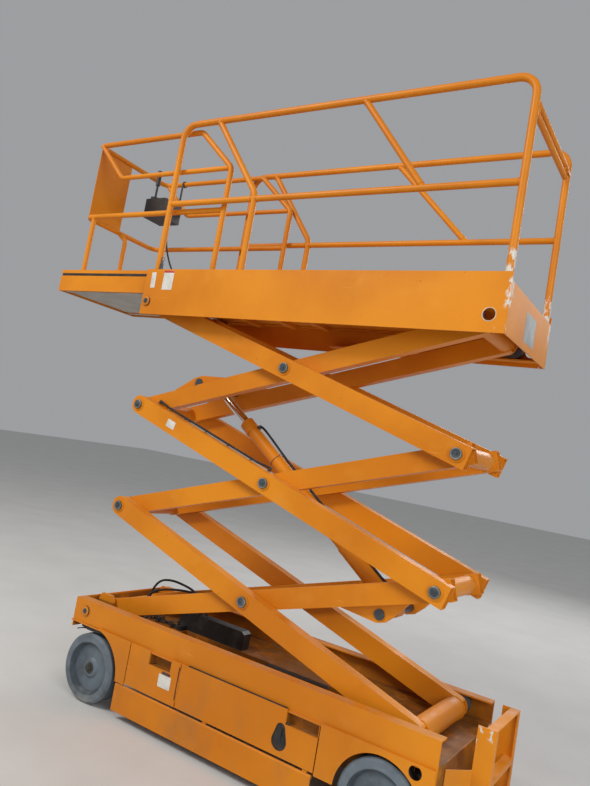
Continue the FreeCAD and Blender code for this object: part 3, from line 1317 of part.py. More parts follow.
CABLE_Y = -number("(box_near + box_far) / 2") - 10
CABLE_TOP = number("box_low - cable_gland_height - 0.3")
CABLE_FOOT = number(f"{EXT_FLOOR} + 5 + cable_gland_height + 0.3")
CABLE_FALL = CABLE_TOP - CABLE_FOOT
cable_points = [
    (CABLE_X, CABLE_Y, CABLE_TOP), (CABLE_X, CABLE_Y, CABLE_TOP - 0.14 * CABLE_FALL),
    (CABLE_X - 25, CABLE_Y - 2, CABLE_TOP - 0.30 * CABLE_FALL),
    (CABLE_X - 80, CABLE_Y - 6, CABLE_TOP - 0.475 * CABLE_FALL),
    (CABLE_X - 145, CABLE_Y - 10, CABLE_TOP - 0.61 * CABLE_FALL),
    (CABLE_END + 15, CABLE_Y - 12, CABLE_TOP - 0.745 * CABLE_FALL),
    (CABLE_END, CABLE_Y - 12, CABLE_TOP - 0.89 * CABLE_FALL),
    (CABLE_END, CABLE_Y - 12, CABLE_FOOT),
]
cable = bent_tube(cable_points, number("cable_radius"))
sub_part("control_cable", shaped("control_cable_run", [cable]))
sub_part("cable_glands", fuse("cable_gland_set", [
    round_bar("cable_gland_high", "Z", "cable_gland", "box_low - cable_gland_height", "box_low - 0.2",
              (f"{CABLE_X}", f"{CABLE_Y}")),
    round_bar("cable_gland_foot", "Z", "cable_gland", f"{EXT_FLOOR} + 5.2",
              f"{EXT_FLOOR} + 5 + cable_gland_height", (f"{CABLE_END}", f"{CABLE_Y - 12}")),
]))

doc.recompute()
os.makedirs("parts", exist_ok=True)
faults = [item.Label for item in doc.Objects if "Invalid" in item.State or "Error" in item.State]
for piece in subparts:
    if piece.Shape.isNull() or not piece.Shape.isValid() or not piece.Shape.Solids:
        faults.append(piece.Label)
if faults:
    raise RuntimeError("not sound: " + ", ".join(sorted(set(faults))))
for piece in subparts:
    piece.Shape.exportStep(f"parts/{piece.Label}.step")
    print(piece.Label, len(piece.Shape.Solids), round(piece.Shape.Volume / 1e6, 2))
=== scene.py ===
"""Scissor lift: materials, small detail, floor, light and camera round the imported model."""
import math

import bmesh
import bpy
from mathutils import Matrix, Vector


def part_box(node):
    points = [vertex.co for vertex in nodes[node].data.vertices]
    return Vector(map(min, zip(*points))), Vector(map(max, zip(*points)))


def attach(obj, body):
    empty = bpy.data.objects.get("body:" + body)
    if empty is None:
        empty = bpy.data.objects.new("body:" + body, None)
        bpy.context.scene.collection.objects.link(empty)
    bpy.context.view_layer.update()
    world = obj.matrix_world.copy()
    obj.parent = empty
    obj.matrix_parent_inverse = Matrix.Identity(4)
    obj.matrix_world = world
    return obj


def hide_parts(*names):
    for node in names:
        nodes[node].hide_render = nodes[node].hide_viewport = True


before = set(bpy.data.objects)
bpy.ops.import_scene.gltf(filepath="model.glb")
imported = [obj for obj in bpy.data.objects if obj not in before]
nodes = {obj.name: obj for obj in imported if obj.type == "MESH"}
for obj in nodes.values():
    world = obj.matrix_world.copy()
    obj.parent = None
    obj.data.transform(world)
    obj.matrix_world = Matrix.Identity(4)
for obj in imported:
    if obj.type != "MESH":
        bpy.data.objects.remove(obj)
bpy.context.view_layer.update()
scene = bpy.context.scene


# Places, in metres in the row frame.

BOTH = (1, -1)
SIDES = (("near", 1), ("far", -1))
UP = (0, 0, 1)


def middle(node):
    """Middle of a node's box."""
    low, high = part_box(node)
    return (Vector(low) + Vector(high)) / 2


AXLE_HEIGHT = middle("disc_front_near").z
FRONT_AXLE = middle("disc_front_near").x
REAR_AXLE = middle("disc_rear_near").x
TROUGH_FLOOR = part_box("trough_box")[0][2]

# Scissor pins: along the machine, and the level of each row of pins.
PIN_FRONT = 0.716
PIN_REAR = -1.294
PIN_MIDDLE = (PIN_FRONT + PIN_REAR) / 2
LEVELS = tuple(0.486 + 0.310 * step for step in range(6))
DECK_LEVEL = 2.3453
SLOPE = math.radians(17.14)
ARM_HALF = 0.060


# Camera, from a fit of pins, rails and wheels in the photograph.
PHOTO_HEIGHT = 786
FOCAL_PIXELS = 680.36
CAMERA_PLACE = Vector((-2.314, 3.286, 1.613))
CAMERA_TURNS = (-0.0832, 0.5735, 0.1756)


def camera_rotation():
    """Rotation of the camera in the row frame from the fit's three turns."""
    turn_x, turn_y, turn_z = CAMERA_TURNS
    upright = Matrix(((1, 0, 0), (0, 0, -1), (0, 1, 0)))
    around_x = Matrix.Rotation(turn_x, 3, "X")
    around_y = Matrix.Rotation(turn_y, 3, "Y")
    around_z = Matrix.Rotation(turn_z, 3, "Z")
    to_row = Matrix(((-1, 0, 0), (0, -1, 0), (0, 0, 1)))
    right, down, ahead = around_z @ around_x @ around_y @ upright @ to_row
    return Matrix((right, -down, -ahead)).transposed()


def add_camera():
    """The camera that took the photograph, as the fit places it."""
    data = bpy.data.cameras.new("camera")
    data.sensor_fit = "VERTICAL"
    data.sensor_height = 36
    data.lens = FOCAL_PIXELS * data.sensor_height / PHOTO_HEIGHT
    camera = bpy.data.objects.new("camera", data)
    camera.matrix_world = Matrix.Translation(CAMERA_PLACE) @ camera_rotation().to_4x4()
    scene.collection.objects.link(camera)
    scene.camera = camera


add_camera()


# Materials. Every texture takes the row frame's own coordinates, in metres.

class Look:
    """One material's node tree, with short calls for the nodes that it is made of."""

    def __init__(self, name, roughness, metallic=0.0):
        self.material = bpy.data.materials.new(name)
        self.material.use_nodes = True
        self.tree = self.material.node_tree
        self.shader = self.tree.nodes["Principled BSDF"]
        self.shader.inputs["Roughness"].default_value = roughness
        self.shader.inputs["Metallic"].default_value = metallic
        coordinates = self.tree.nodes.new("ShaderNodeTexCoord")
        self.place = coordinates.outputs["Object"]
        self.facing = coordinates.outputs["Normal"]

    def put(self, socket, value):
        """Sets a socket to a value or links it to another node's output."""
        if isinstance(value, bpy.types.NodeSocket):
            self.tree.links.new(value, socket)
        else:
            socket.default_value = value

    def calc(self, kind, first, second=0.0, third=None):
        """The result of a Math node."""
        node = self.tree.nodes.new("ShaderNodeMath")
        node.operation = kind
        self.put(node.inputs[0], first)
        self.put(node.inputs[1], second)
        if third is not None:
            self.put(node.inputs[2], third)
        return node.outputs[0]

    def part(self, letter, vector=None):
        """One coordinate of a vector, by default of the place."""
        node = self.tree.nodes.new("ShaderNodeSeparateXYZ")
        self.put(node.inputs[0], vector or self.place)
        return node.outputs["XYZ".index(letter)]

    def between(self, value, low, high):
        """0 at low, 1 at high, smooth between them."""
        node = self.tree.nodes.new("ShaderNodeMapRange")
        node.interpolation_type = "SMOOTHSTEP"
        self.put(node.inputs["Value"], value)
        node.inputs["From Min"].default_value = low
        node.inputs["From Max"].default_value = high
        return node.outputs["Result"]

    def stretched(self, scale):
        """The place, with each axis scaled by its own factor."""
        node = self.tree.nodes.new("ShaderNodeMapping")
        self.put(node.inputs["Vector"], self.place)
        node.inputs["Scale"].default_value = scale
        return node.outputs["Vector"]

    def noise(self, scale, low=0.0, high=1.0, detail=4.0, stretch=None, seed=0.0):
        """Noise from 0 to 1, spread so that its values from low to high fill that range."""
        node = self.tree.nodes.new("ShaderNodeTexNoise")
        node.noise_dimensions = "4D"
        self.put(node.inputs["Vector"], self.stretched(stretch) if stretch else self.place)
        node.inputs["W"].default_value = seed
        node.inputs["Scale"].default_value = scale
        node.inputs["Detail"].default_value = detail
        return self.between(node.outputs["Fac"], low, high)

    def mix(self, factor, first, second):
        """A colour between two colours."""
        node = self.tree.nodes.new("ShaderNodeMix")
        node.data_type = "RGBA"
        self.put(node.inputs["Factor"], factor)
        for socket, colour in ((node.inputs[6], first), (node.inputs[7], second)):
            self.put(socket, (*colour, 1.0) if isinstance(colour, tuple) else colour)
        return node.outputs[2]

    def over(self, colour, cover, share, paint):
        """A paint laid over a colour: cover says where, from 0 to 1, and share how strongly."""
        return self.mix(self.calc("MULTIPLY", cover, share), colour, paint)

    def colour(self, value):
        """Sets the shader's colour."""
        self.put(self.shader.inputs["Base Color"], (*value, 1.0) if isinstance(value, tuple) else value)

    def bump(self, height, strength, distance):
        """Sets the shader's relief."""
        node = self.tree.nodes.new("ShaderNodeBump")
        self.put(node.inputs["Height"], height)
        node.inputs["Strength"].default_value = strength
        node.inputs["Distance"].default_value = distance
        self.put(self.shader.inputs["Normal"], node.outputs["Normal"])

    def inside(self, along, low, high, soft):
        """1 between two places along an axis or another value, 0 outside, soft at both ends."""
        spot = self.part(along) if isinstance(along, str) else along
        return self.calc(
            "MULTIPLY", self.between(spot, low - soft, low), self.between(spot, high + soft, high)
        )


ORANGE = (0.76, 0.262, 0.012)
ORANGE_DEEP = (0.61, 0.185, 0.008)
ORANGE_PALE = (0.84, 0.38, 0.060)
RUST = (0.16, 0.055, 0.018)
DUST = (0.36, 0.30, 0.21)
# Paler orange laid on flat tops: painted sunlight.
PAINTED_SUNLIGHT = (0.80, 0.40, 0.11)
# Dark brown inside the trough and the door pockets: painted shade, with some grime.
SHADE_AND_GRIME = (0.115, 0.055, 0.018)
MUD = (0.24, 0.155, 0.075)
PRIMER = (0.70, 0.66, 0.58)
BARE_STEEL = (0.30, 0.29, 0.27)
STEEL_PALE = (0.42, 0.40, 0.36)
CLEAN_ABOVE = 0.62


def orange_paint(name, chips=(), bare_below=False, tread=False, dust_and_sunlight=PAINTED_SUNLIGHT, inside=None):
    """Sprayed orange paint with faded patches, fine scratches, dust, rust specks and chips, with painted
    sunlight on flat tops and painted shade in recesses.

    chips lists boxes of ranges of x, y from the middle, and z, each with the share of the noise
    that stays painted: there the paint is worn to its pale primer. bare_below leaves the undersides
    in bare steel, tread adds raised diamonds to flat tops, and dust_and_sunlight is the colour laid on
    them: dust on some parts, and on others a paler orange that is painted sunlight. inside is the
    distance from the middle and the level below which painted shade, with some grime, darkens the paint."""
    look = Look(name, 0.42)
    look.shader.inputs["Specular IOR Level"].default_value = 0.22
    colour = look.mix(look.noise(1.3, 0.35, 0.65), ORANGE, ORANGE_DEEP)
    colour = look.over(colour, look.noise(5, 0.55, 0.75, detail=8), 0.18, ORANGE_PALE)
    scratch = look.noise(26, 0.70, 0.74, detail=3, stretch=(0.25, 1, 3.2), seed=3.1)
    fine = look.noise(60, 0.71, 0.76, detail=2, stretch=(3, 1, 0.3), seed=7.7)
    marks = look.calc("MAXIMUM", scratch, fine)
    colour = look.over(colour, marks, 0.28, ORANGE_PALE)
    colour = look.over(colour, look.noise(48, 0.71, 0.75, detail=6, seed=12.0), 0.65, RUST)
    grime = look.calc(
        "MULTIPLY", look.noise(7, 0.42, 0.72, detail=6, stretch=(1, 1, 0.5), seed=5.0),
        look.between(look.part("Z"), CLEAN_ABOVE, 0.05),
    )
    colour = look.over(colour, grime, 0.30, MUD)
    # Flat tops take a colour of their own: dust on some parts, and on others a paler orange that is
    # painted sunlight.
    flat_top = look.between(look.part("Z", look.facing), 0.75, 0.95)
    top_dust_and_light = look.calc("MULTIPLY", flat_top, look.noise(9, 0.35, 0.7, detail=6, seed=9.0))
    colour = look.over(colour, top_dust_and_light, 0.36, dust_and_sunlight)
    from_middle = look.calc("ABSOLUTE", look.part("Y"))
    for number, (along, across, up, kept) in enumerate(chips):
        zone = look.calc("MULTIPLY", look.inside("X", *along, 0.02), look.inside("Z", *up, 0.03))
        zone = look.calc("MULTIPLY", zone, look.inside(from_middle, *across, 0.01))
        flakes = look.noise(46, kept, kept + 0.05, detail=6, stretch=(1, 1, 0.45), seed=20.0 + number)
        colour = look.over(colour, zone, flakes, PRIMER)
    # Painted shade, with some grime, inside the outer skin: in the trough and in the door pockets.
    if inside:
        depth, level = inside
        shade = look.calc(
            "MULTIPLY", look.between(from_middle, depth + 0.003, depth - 0.003),
            look.between(look.part("Z"), level + 0.004, level - 0.004),
        )
        shade = look.calc("MULTIPLY", shade, look.noise(11, 0.15, 0.55, detail=6, seed=15.0))
        colour = look.over(colour, shade, 0.72, SHADE_AND_GRIME)
    if bare_below:
        under = look.between(look.part("Z", look.facing), -0.6, -0.9)
        metal = look.mix(look.noise(6, 0.3, 0.7, detail=6, seed=2.0), BARE_STEEL, STEEL_PALE)
        colour = look.mix(under, colour, metal)
    look.colour(colour)
    roughness = look.calc("MULTIPLY_ADD", look.calc("MAXIMUM", grime, top_dust_and_light), 0.35, 0.40)
    look.put(look.shader.inputs["Roughness"], roughness)
    relief = look.calc("MULTIPLY_ADD", marks, -0.4, look.noise(90, 0.3, 0.7, detail=3, seed=1.0))
    if tread:
        lugs = look.calc("MULTIPLY", flat_top, diamond_plate(look))
        relief = look.calc("ADD", relief, look.calc("MULTIPLY", lugs, 6.0))
    look.bump(relief, 0.35, 0.0004)
    return look.material


def diamond_plate(look):
    """Raised diamonds in two directions, as on rolled tread plate."""
    raised = None
    for turn in (0.8, -0.8):
        cosine, sine = math.cos(turn), math.sin(turn)
        x, y = look.part("X"), look.part("Y")
        along = look.calc("ADD", look.calc("MULTIPLY", x, cosine), look.calc("MULTIPLY", y, sine))
        across = look.calc("SUBTRACT", look.calc("MULTIPLY", y, cosine), look.calc("MULTIPLY", x, sine))
        long_wave = look.calc("SINE", look.calc("MULTIPLY", along, 110.0))
        cross_wave = look.calc("SINE", look.calc("MULTIPLY", across, 220.0))
        bar = look.calc(
            "MULTIPLY", look.between(long_wave, 0.1, 0.6), look.between(cross_wave, 0.4, 0.8))
        raised = bar if raised is None else look.calc("MAXIMUM", raised, bar)
    return raised


def shaded(colour, share, lift=0.0):
    """A colour darkened or brightened by a share, and lifted towards grey."""
    return tuple(min(1.0, part * share + lift) for part in colour)


def from_axle(look):
    """Distance from the nearer wheel's middle, seen from the side."""
    offsets = [look.calc("ABSOLUTE", look.calc("SUBTRACT", look.part("X"), axle))
               for axle in (FRONT_AXLE, REAR_AXLE)]
    along = look.calc("MINIMUM", *offsets)
    up = look.calc("SUBTRACT", look.part("Z"), AXLE_HEIGHT)
    squares = look.calc("ADD", look.calc("MULTIPLY", along, along), look.calc("MULTIPLY", up, up))
    return look.calc("SQRT", squares)


def grey_wheel(name, colour, roughness, corner=None):
    """Grey rubber or painted disc. corner is the radius from which painted shade, with some grime,
    darkens a dish's corner.
    """
    look = Look(name, roughness)
    mixed = look.mix(look.noise(8, 0.35, 0.7, detail=6), colour, shaded(colour, 0.55))
    if corner:
        # Painted shade, with some grime, in the dish's corner by the tyre.
        grime = look.calc("MULTIPLY", look.between(from_axle(look), corner - 0.014, corner + 0.003),
                          look.noise(13, 0.1, 0.6, detail=6, seed=8.0))
        mixed = look.over(mixed, grime, 0.75, shaded(colour, 0.28))
    scuffs = look.noise(17, 0.50, 0.80, detail=7, stretch=(1, 1, 1.6), seed=4.0)
    mixed = look.over(mixed, scuffs, 0.30, shaded(colour, 1.5, 0.02))
    low_mud = look.calc("MULTIPLY", look.between(look.part("Z"), 0.11, 0.0),
                        look.noise(25, 0.35, 0.7, detail=6))
    look.colour(look.over(mixed, low_mud, 0.45, DUST))
    look.bump(look.noise(70, 0.2, 0.8, detail=6), 0.4, 0.0006)
    return look.material


def worn_steel(name, colour, roughness, metallic):
    """Steel or thin paint with pale patches and rust specks."""
    look = Look(name, roughness, metallic)
    mixed = look.mix(look.noise(22, 0.45, 0.75, detail=6), colour, shaded(colour, 1.7, 0.03))
    look.colour(look.over(mixed, look.noise(40, 0.66, 0.74, detail=5, seed=6.0), 0.7, RUST))
    look.bump(look.noise(120, 0.3, 0.7), 0.3, 0.0003)
    return look.material


def moulded(name, colour, roughness):
    """Plastic, rubber or printed film with a little dust."""
    look = Look(name, roughness)
    dust = look.noise(14, 0.45, 0.7, detail=5)
    look.colour(look.over(colour, dust, 0.6, shaded(colour, 0.6, 0.05)))
    look.bump(look.noise(300, 0.2, 0.8, detail=2), 0.25, 0.0002)
    return look.material


def chromed(name):
    """Bright rod with dull patches and fine lines along it."""
    look = Look(name, 0.12, 1.0)
    look.colour(look.mix(look.noise(35, 0.6, 0.8), (0.72, 0.72, 0.72), (0.35, 0.33, 0.30)))
    look.bump(look.noise(200, 0.3, 0.7, detail=3, stretch=(0.1, 1, 1)), 0.1, 0.0001)
    return look.material


MATERIALS = {
    "orange": orange_paint("orange"),
    "orange_chassis": orange_paint("orange_chassis", dust_and_sunlight=DUST, inside=(0.388, 0.536)),
    "orange_panel": orange_paint("orange_panel", dust_and_sunlight=DUST, inside=(0.402, 0.424)),
    "orange_deck": orange_paint(
        "orange_deck", dust_and_sunlight=DUST, tread=True, chips=(
            ((-1.47, -1.447), (0.37, 0.41), (2.40, 2.50), 0.49),
            ((-1.46, -1.41), (0.39, 0.41), (2.26, 2.42), 0.60),
            ((-1.47, -1.445), (0.33, 0.41), (2.30, 2.50), 0.61),
        ),
    ),
    "orange_rail": orange_paint("orange_rail", chips=(
        ((-1.47, -1.40), (0.35, 0.40), (2.40, 2.56), 0.43),
        ((-1.47, -1.40), (0.35, 0.40), (2.54, 2.63), 0.52),
        ((0.67, 0.72), (0.35, 0.40), (2.40, 2.50), 0.56),
    )),
    "orange_extension": orange_paint("orange_extension", bare_below=True, tread=True, dust_and_sunlight=DUST),
    "orange_ladder": orange_paint(
        "orange_ladder", chips=(((-1.60, -1.50), (0.0, 0.40), (0.52, 0.58), 0.60),)),
    "grey_tyre": grey_wheel("grey_tyre", (0.150, 0.185, 0.215), 0.75),
    "grey_disc": grey_wheel("grey_disc", (0.128, 0.164, 0.194), 0.55, corner=0.128),
    "pin_steel": worn_steel("pin_steel", (0.070, 0.082, 0.095), 0.42, 0.5),
    "pale_steel": worn_steel("pale_steel", (0.190, 0.195, 0.175), 0.5, 0.4),
    "worn_edge": worn_steel("worn_edge", (0.60, 0.52, 0.40), 0.6, 0.0),
    "dark_steel": worn_steel("dark_steel", (0.055, 0.05, 0.045), 0.6, 0.3),
    "chrome_rod": chromed("chrome_rod"),
    "black_plastic": moulded("black_plastic", (0.018, 0.018, 0.018), 0.5),
    "black_rubber": moulded("black_rubber", (0.012, 0.012, 0.012), 0.7),
    "roller": moulded("roller", (0.10, 0.10, 0.10), 0.55),
    "white_label": moulded("white_label", (0.72, 0.70, 0.64), 0.5),
    "red_plastic": moulded("red_plastic", (0.50, 0.018, 0.012), 0.4),
    "grey_label": moulded("grey_label", (0.42, 0.43, 0.42), 0.5),
    "dark_label": moulded("dark_label", (0.095, 0.028, 0.022), 0.5),
    "grey_pad": moulded("grey_pad", (0.115, 0.120, 0.125), 0.6),
}

# material, then the CAD nodes that wear it
WORN_BY = {
    "orange": (
        "pothole_guard_near pothole_guard_far inner_arms_1 inner_arms_2 inner_arms_3"
        " outer_arms_1 outer_arms_2 outer_arms_3 entry_bar extension_rails front_sheet cylinder_barrel"
    ),
    "orange_chassis": "chassis_frame",
    "orange_panel": "side_panels tray_door_near tray_door_far",
    "orange_deck": "platform_frame",
    "orange_rail": "main_rail_near main_rail_far",
    "orange_extension": "extension_deck",
    "orange_ladder": "ladder",
    "grey_tyre": "tyre_front_near tyre_front_far tyre_rear_near tyre_rear_far",
    "grey_disc": "disc_front_near disc_front_far disc_rear_near disc_rear_far",
    "pin_steel": "pins_1 pins_2 pins_3 base_pins roller_pins cylinder_shaft_upper cylinder_stubs_lower",
    "dark_steel": "knuckle_near knuckle_far rear_axle tie_rod battery_block power_pack_block hose_glands",
    "chrome_rod": "cylinder_rod",
    "black_plastic": "control_box joystick trough_box cable_glands",
    "roller": "base_rollers deck_rollers",
}
for wearing, names in WORN_BY.items():
    for node_name in names.split():
        slots = nodes[node_name].data.materials
        slots.clear()
        slots.append(MATERIALS[wearing])


# Cords. Their points repeat the model's routes.

def add_curve(name, points, radius, material):
    """A round bar along one smooth curve through the air, as an open NURBS spline."""
    data = bpy.data.curves.new(name, "CURVE")
    data.dimensions = "3D"
    data.bevel_depth = radius
    data.bevel_resolution = 4
    data.resolution_u = 8
    data.use_fill_caps = True
    spline = data.splines.new("NURBS")
    spline.points.add(len(points) - 1)
    for point, spot in zip(spline.points, points):
        point.co = (*spot, 1.0)
    spline.order_u = 3
    spline.use_endpoint_u = True
    data.materials.append(MATERIALS[material])
    piece = bpy.data.objects.new(name, data)
    scene.collection.objects.link(piece)
    return piece


# name, node it stands for, body, radius, length, lay, route
CORDS = (
    ("box_cable", "control_cable", "extension", 0.006, 0.695, "hanging", (
        (1.2800, -0.200, 3.0857), (1.2800, -0.200, 2.9954), (1.2550, -0.202, 2.8922),
        (1.2000, -0.206, 2.7793), (1.1350, -0.210, 2.6922), (1.0850, -0.212, 2.6051),
        (1.0700, -0.212, 2.5116), (1.0700, -0.212, 2.4406))),
    ("long_hose", "trough_hose_long", "chassis", 0.007, 0.609, "loose", (
        (0.638, -0.030, 0.4343), (0.638, -0.030, 0.510), (0.628, -0.033, 0.595),
        (0.586, -0.045, 0.668), (0.511, -0.068, 0.684), (0.431, -0.093, 0.672),
        (0.371, -0.113, 0.655), (0.331, -0.128, 0.625), (0.316, -0.133, 0.585),
        (0.316, -0.133, 0.5393))),
    ("short_hose", "trough_hose_short", "chassis", 0.007, 0.616, "loose", (
        (0.621, 0.030, 0.4343), (0.621, 0.030, 0.490), (0.614, 0.026, 0.550),
        (0.581, 0.010, 0.604), (0.521, -0.018, 0.628), (0.446, -0.050, 0.642),
        (0.376, -0.078, 0.647), (0.316, -0.095, 0.643), (0.264, -0.108, 0.622),
        (0.236, -0.114, 0.580), (0.236, -0.114, 0.5393))),
)


def add_cords():
    """Each free cord, with what it stands for and how it hangs."""
    for name, node, body, radius, length, lay, route in CORDS:
        cord = add_curve(name, route, radius, "black_rubber")
        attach(cord, body)
        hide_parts(node)


# Small forms: pin faces, welds, nuts, plates, buttons, hoses, and dark strips of painted shadow.

# Share of a weld bead's thickness that is left between two of its ripples.
RIPPLE = 0.78


def turned(side, other, radius, angle):
    """A step of a radius, turned by an angle from one direction towards another."""
    return radius * (side * math.cos(angle) + other * math.sin(angle))


class Shape:
    """Small forms of one material on one body, gathered in one mesh in the row frame."""

    def __init__(self, name, material, body, slot=None):
        self.name, self.material, self.body, self.slot = name, material, body, slot
        self.mesh = bmesh.new()

    def walls(self, rings):
        """Faces between rings of corners, each ring joined to the one after it."""
        for low, high in zip(rings, rings[1:]):
            for step in range(len(low)):
                after = (step + 1) % len(low)
                self.mesh.faces.new((low[step], low[after], high[after], high[step]))

    def caps(self, rings):
        """Faces that close the first and the last ring."""
        self.mesh.faces.new(rings[0])
        self.mesh.faces.new(rings[-1])

    def lathe(self, centre, along, profile, sides=24):
        """A turned form: profile lists (distance along the axis, radius). Six sides make a nut."""
        axis = Vector(along).normalized()
        side = axis.cross(Vector((0.3, 0.1, 1.0)) if abs(axis.z) < 0.9 else Vector((1.0, 0.0, 0.0)))
        side.normalize()
        other = axis.cross(side)
        rings = []
        for distance, radius in profile:
            ring_centre = Vector(centre) + axis * distance
            rings.append([
                self.mesh.verts.new(ring_centre + turned(side, other, radius, math.tau * step / sides))
                for step in range(sides)
            ])
        self.walls(rings)
        self.caps(rings)

    def rope(self, spots, radii, sides=6, closed=False):
        """A tube through the spots, with a radius at each."""
        spots = [Vector(spot) for spot in spots]
        count = len(spots)
        normal = None
        rings = []
        for number, spot in enumerate(spots):
            before = spots[number - 1] if closed or number else spot
            after = spots[(number + 1) % count] if closed or number < count - 1 else spot
            ahead = (after - before).normalized()
            if normal is None:
                normal = ahead.orthogonal()
            normal = (normal - ahead * normal.dot(ahead)).normalized()
            other = ahead.cross(normal)
            rings.append([
                self.mesh.verts.new(spot + turned(normal, other, radii[number], math.tau * step / sides))
                for step in range(sides)
            ])
        if closed:
            self.walls(rings + rings[:1])
        else:
            self.walls(rings)
            self.caps(rings)

    def weld_ring(self, centre, along, radius, thick=0.0035, pitch=0.004):
        """A weld bead round a tube, with its ripples."""
        axis = Vector(along).normalized()
        side = axis.orthogonal().normalized()
        other = axis.cross(side)
        steps = 2 * max(8, round(math.tau * radius / pitch / 2))
        spots, radii = [], []
        for step in range(steps):
            spots.append(Vector(centre) + turned(side, other, radius, math.tau * step / steps))
            radii.append(thick * (1.0 if step % 2 else RIPPLE))
        self.rope(spots, radii, 6, closed=True)

    def block(self, centre, size, turn=0.0, bevel=0.0, segments=2):
        """A block with rounded edges, turned about the Y axis through its middle."""
        made = bmesh.ops.create_cube(self.mesh, size=1.0)["verts"]
        bmesh.ops.scale(self.mesh, vec=size, verts=made)
        if bevel:
            edges = list({edge for vert in made for edge in vert.link_edges})
            made = bmesh.ops.bevel(
                self.mesh, geom=edges, offset=bevel, segments=segments, affect="EDGES",
                clamp_overlap=True,
            )["verts"]
        place = Matrix.Translation(centre) @ Matrix.Rotation(turn, 4, "Y")
        bmesh.ops.transform(self.mesh, matrix=place, verts=list(set(made)))

    def sheet(self, centre, across, up, width, height, thick, corner=0.004):
        """A flat plate with round corners, standing on its face, from two directions in its plane."""
        across, up = Vector(across).normalized(), Vector(up).normalized()
        out = across.cross(up)
        outline = []
        for sign_x, sign_y, first in ((1, 1, 0), (-1, 1, 90), (-1, -1, 180), (1, -1, 270)):
            for step in range(5):
                angle = math.radians(first + step * 22.5)
                outline.append((
                    sign_x * (width / 2 - corner) + corner * math.cos(angle),
                    sign_y * (height / 2 - corner) + corner * math.sin(angle),
                ))
        rings = [
            [self.mesh.verts.new(Vector(centre) + across * x * grow + up * y * grow + out * lift)
             for x, y in outline]
            for lift, grow in ((-0.0002, 1.0), (thick * 0.7, 1.0), (thick, 0.985))
        ]
        self.walls(rings)
        self.caps(rings)

    def hex_bolt(self, centre, along, head, washer):
        """A six-sided bolt head on its washer, from their radii."""
        self.lathe(centre, along, ((-0.0004, washer), (0.0012, washer), (0.0016, washer - 0.0006)))
        self.lathe(centre, along, ((0.0014, head), (0.0062, head), (0.0070, head * 0.88)), sides=6)

    def finish(self):
        """Makes the mesh an object, smooth up to sharp edges, that rides on its body."""
        bmesh.ops.recalc_face_normals(self.mesh, faces=self.mesh.faces)
        data = bpy.data.meshes.new(self.name)
        self.mesh.to_mesh(data)
        self.mesh.free()
        data.materials.append(MATERIALS[self.material])
        for polygon in data.polygons:
            polygon.use_smooth = True
        data.set_sharp_from_angle(angle=math.radians(32))
        piece = bpy.data.objects.new(self.name, data)
        scene.collection.objects.link(piece)
        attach(piece, self.body)
        return piece


# Faces of the pin heads from the middle: on the chassis, on the arms and on the deck's sides.
CHASSIS_HEAD = 0.403
ARM_HEAD = 0.312
DECK_HEAD = 0.410

# body, pin's place along and up, its head's face from the middle
PIN_FACES = (
    ("chassis", PIN_FRONT, LEVELS[0], CHASSIS_HEAD), ("outer_1", PIN_MIDDLE, LEVELS[1], ARM_HEAD),
    ("outer_1", PIN_FRONT, LEVELS[2], ARM_HEAD), ("outer_2", PIN_REAR, LEVELS[2], ARM_HEAD),
    ("outer_2", PIN_MIDDLE, LEVELS[3], ARM_HEAD), ("outer_2", PIN_FRONT, LEVELS[4], ARM_HEAD),
    ("outer_3", PIN_REAR, LEVELS[4], ARM_HEAD), ("outer_3", PIN_MIDDLE, LEVELS[5], ARM_HEAD),
    ("outer_3", PIN_FRONT, DECK_LEVEL, DECK_HEAD),
)


def add_pin_faces():
    """A rim, a dark recess and a grease nipple on each pin head.

    The heads outside the side plates are painted over, up to a small middle."""
    for body in ("chassis", "outer_1", "outer_2", "outer_3"):
        rims = Shape(f"pin_rims_{body}", "pale_steel", body, "dark_steel")
        faces = Shape(f"pin_faces_{body}", "pin_steel", body, "dark_steel")
        caps = Shape(f"pin_caps_{body}", "orange", body, "orange_paint")
        heads = [row[1:] for row in PIN_FACES if row[0] == body]
        for x, level, face in heads:
            for side in BOTH:
                spot, way = (x, side * face, level), (0, side, 0)
                if face > ARM_HEAD:
                    caps.lathe(spot, way, ((-0.0004, 0.0276), (0.0010, 0.0276), (0.0016, 0.0266)), 32)
                    ring = rims if body == "chassis" else faces
                    ring.lathe(spot, way, ((0.0012, 0.0168), (0.0026, 0.0164), (0.0026, 0.0134),
                                           (0.0020, 0.0130)), 28)
                    faces.lathe(spot, way, ((0.0012, 0.0132), (0.0023, 0.0132), (0.0023, 0.0040),
                                            (0.0062, 0.0032), (0.0070, 0.0018)), 28)
                else:
                    rims.lathe(spot, way, ((-0.0004, 0.0274), (0.0012, 0.0268), (0.0020, 0.0254),
                                           (0.0020, 0.0222), (0.0002, 0.0208)), 32)
                    faces.lathe(spot, way, (
                        (-0.0004, 0.0210), (0.0005, 0.0210), (0.0005, 0.0062), (0.0035, 0.0056),
                        (0.0042, 0.0032), (0.0085, 0.0032), (0.0096, 0.0018)), 28)
        for shape in (rims, faces, caps):
            if shape.mesh.faces:
                shape.finish()


# Cross tubes of the arm frames: ends from the middle and radii, inner frames and outer ones.
INNER_END = 0.175
OUTER_END = 0.240
TUBE = 0.045
ROLLER_TUBE = 0.056

